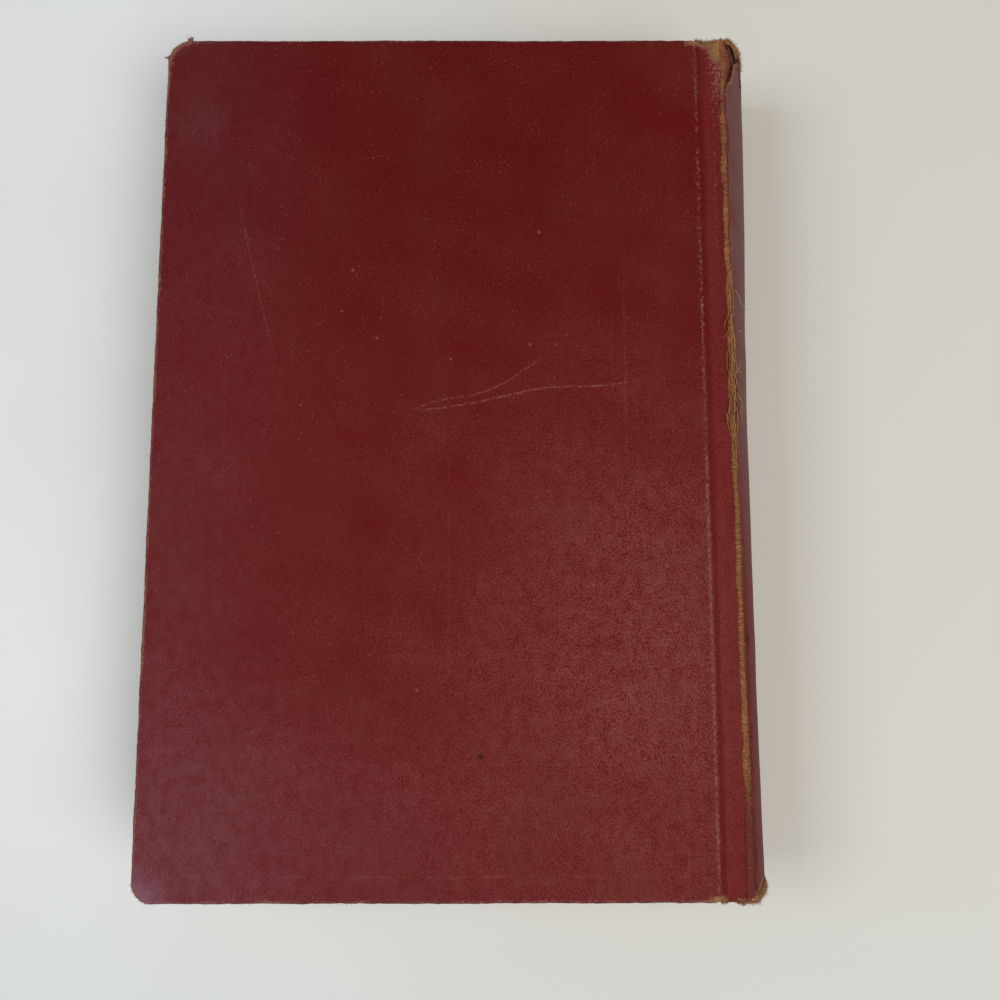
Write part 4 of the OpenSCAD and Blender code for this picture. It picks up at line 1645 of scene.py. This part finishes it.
@dataclass(frozen=True)
class Weave:
    """Plain woven thread, such as gauze."""

    name: str
    colour: Colour
    dark: Colour
    pitch: float = 0.9

    def build(self) -> bpy.types.Material:
        """Two bands of waves at right angles, of which the higher shows.

        Returns:
            The material.
        """
        shade = Shade(self.name)
        where = shade.place()
        scale = math.pi / (5 * self.pitch)
        warp, weft = (shade.node("TexWave", {"Vector": where, "Scale": scale, "Distortion": 0.8},
                                 "Fac", bands_direction=axis) for axis in "XY")
        weave = shade.greater(warp, weft)
        soil = shade.noise(where, 6, 4.0, 0.6)
        colour = shade.coats(self.dark, (shade.step(weave, 0.2, 0.8), self.colour),
                             (shade.step(soil, 0.45, 0.8, 0.0, 0.5), self.dark))
        return shade.finish(colour, 0.85, shade.bump(weave, 0.1, 0.9), Specular_IOR_Level=0.25)


@dataclass
class Studio:
    """Pale floor, soft light from the left, and the photograph's viewpoint."""

    lens: float = 36.0
    eye: Colour = (10.52, -45.0, 267.8)
    tilt: Colour = (7.73, -0.07, -0.10)

    def camera(self) -> None:
        """Looks nearly straight down, a little from the tail."""
        data = bpy.data.cameras.new("view")
        data.lens, data.sensor_width, data.sensor_fit = self.lens, 36.0, "HORIZONTAL"
        data.clip_start, data.clip_end = 0.01, 20
        thing = bpy.data.objects.new("view", data)
        thing.location = [v * MM for v in self.eye]
        thing.rotation_euler = [math.radians(v) for v in self.tilt]
        bpy.context.scene.collection.objects.link(thing)
        bpy.context.scene.camera = thing

    def lamp(self, name: str, place: Colour, size: float, power: float, colour: Colour) -> None:
        """Adds a square soft light that faces the book.

        Args:
            name: Its name.
            place: Its place in metres.
            size: Its width in metres.
            power: Its power in watts.
            colour: Its colour.
        """
        data = bpy.data.lights.new(name, "AREA")
        data.shape, data.size, data.energy, data.color = "SQUARE", size, power, colour
        thing = bpy.data.objects.new(name, data)
        thing.location = place
        x, y, z = place
        thing.rotation_euler = (math.atan2(math.hypot(x, y), z), 0.0, math.atan2(-y, -x) - math.pi / 2)
        bpy.context.scene.collection.objects.link(thing)

    def light(self) -> None:
        """A cool window on the left, a warm room on the right and overhead."""
        world = bpy.data.worlds.new("room")
        world.use_nodes = True
        room = world.node_tree.nodes["Background"]
        room.inputs[0].default_value = (1.0, 0.96, 0.90, 1)
        room.inputs[1].default_value = 0.25
        bpy.context.scene.world = world
        self.lamp("window", (-1.0, 0.0, 1.2), 0.7, 8.0, (0.90, 0.96, 1.0))
        self.lamp("room_light", (0.6, -0.6, 1.3), 1.0, 15.0, (1.0, 0.965, 0.915))

    def floor(self) -> None:
        """A pale cloth floor with a faint rise and fall of tone. It lies a hair low, so that
        the front cover shows when it is opened flat.
        """
        drop = 0.12
        piece = Piece("floor")
        side = np.linspace(-1500, 1500, 61)
        x, y = np.meshgrid(side, side, indexing="ij")
        piece.add(np.stack([x, y, np.full(x.shape, -drop)], -1), lattice(*x.shape, flip=True))
        thing = piece.make()
        shade = Shade("pale_floor")
        where = shade.place()
        tone = shade.noise(where, 90, 3.0, 0.5)
        weave = shade.noise(where, 0.5, 2.0, 0.6)
        x, y, _ = shade.split(where)
        # Painted light: the floor is painted cooler and brighter on the left, warmer and darker on the right, and
        # darker towards the tail, as the window and room lights fall on it.
        colour = shade.coats(
            (0.80, 0.835, 0.85), (shade.step(x, -110, 70), (0.71, 0.695, 0.65)),
            (shade.step(y, -200, -70, 1.0, 0.0), (0.66, 0.715, 0.73)),
            (shade.step(tone, 0.3, 0.7, 0.0, 0.25), (0.68, 0.675, 0.65)))
        thing.data.materials.append(shade.finish(colour, 0.9, shade.bump(weave, 0.05, 0.3),
                                                 Specular_IOR_Level=0.2))


def fill(finishes: dict[str, bpy.types.Material]) -> None:
    """Gives the frame's own nodes their finishes.

    Args:
        finishes: A finish for each slot of the record.
    """
    for part in frame["record"]["subparts"]:
        if part["material_slot"] in finishes:
            mesh = frame["nodes"][part["node"]].data
            mesh.materials.clear()
            mesh.materials.append(finishes[part["material_slot"]])


def main() -> None:
    """Builds the pieces in order."""
    logging.basicConfig(level=logging.INFO, format="%(message)s")
    book = Layout.from_frame()
    outline = Outline(book)
    bpy.context.scene.view_settings.view_transform = "Standard"
    studio = Studio()
    studio.camera()
    studio.light()
    studio.floor()

    endpaper = Paper("endpaper", (0.66, 0.55, 0.38), (0.45, 0.31, 0.17)).build(book)
    kraft = Paper("kraft", (0.35, 0.22, 0.11), (0.22, 0.13, 0.06)).build(book)
    card = Paper("greyboard", (0.30, 0.23, 0.15), (0.2, 0.14, 0.09)).build(book)
    # Painted shade: the card inlay is dark brown so that the hollow seen through the tear at the head reads as
    # shade.
    dust_and_shade = Paper("shade_dark_card", (0.045, 0.030, 0.020), (0.03, 0.02, 0.012)).build(book)
    gauze = Weave("gauze", (0.6, 0.53, 0.40), (0.32, 0.25, 0.16)).build()
    gold = Yarn("golden_yarn").build()
    silk = Yarn("band_silk", (0.62, 0.50, 0.30), (0.30, 0.20, 0.10), (0.30, 0.03, 0.03), 0.5).build()
    plain, marked = BookCloth("book_cloth"), BookCloth("book_cloth_back")
    cloth = {Side.BACK: marked.build(book, True), Side.FRONT: plain.build(book)}

    ends = EndFray(book, outline)
    for side in Side:
        wrap = CoverCloth(book, side, 1.1 if side is Side.BACK else 1.5).build(outline)
        dress(wrap, cloth[side], "cover_cloth", side.body, f"{side.value}_cover_cloth")
        fray = JointFray(book, outline, side).build()
        dress(fray, gold, "cover_cloth")
        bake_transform(fray)
        dress(ends.cover(side), gold, "cover_cloth", side.body)
    spine = SpineCloth(book, outline).build()
    dress(spine, cloth[Side.FRONT], "spine_cloth", Body.BLOCK, "spine_cloth")
    dress(ends.spine(), gold, "spine_cloth", Body.BLOCK)
    dress(SpineCard(book, outline).build(), dust_and_shade, "spine_card", Body.BLOCK, "spine_inlay")
    for head in (True, False):
        dress(Band(book, head).build(), silk, "band", Body.BLOCK, "headband" if head else "tailband")
    dress(Leaves(book).build(), LeafEdges().build(), "pages", Body.BLOCK, "text_block")
    fill({"endpaper": endpaper, "kraft_paper": kraft, "greyboard": card, "mull": gauze})


if __name__ == "__main__":
    main()
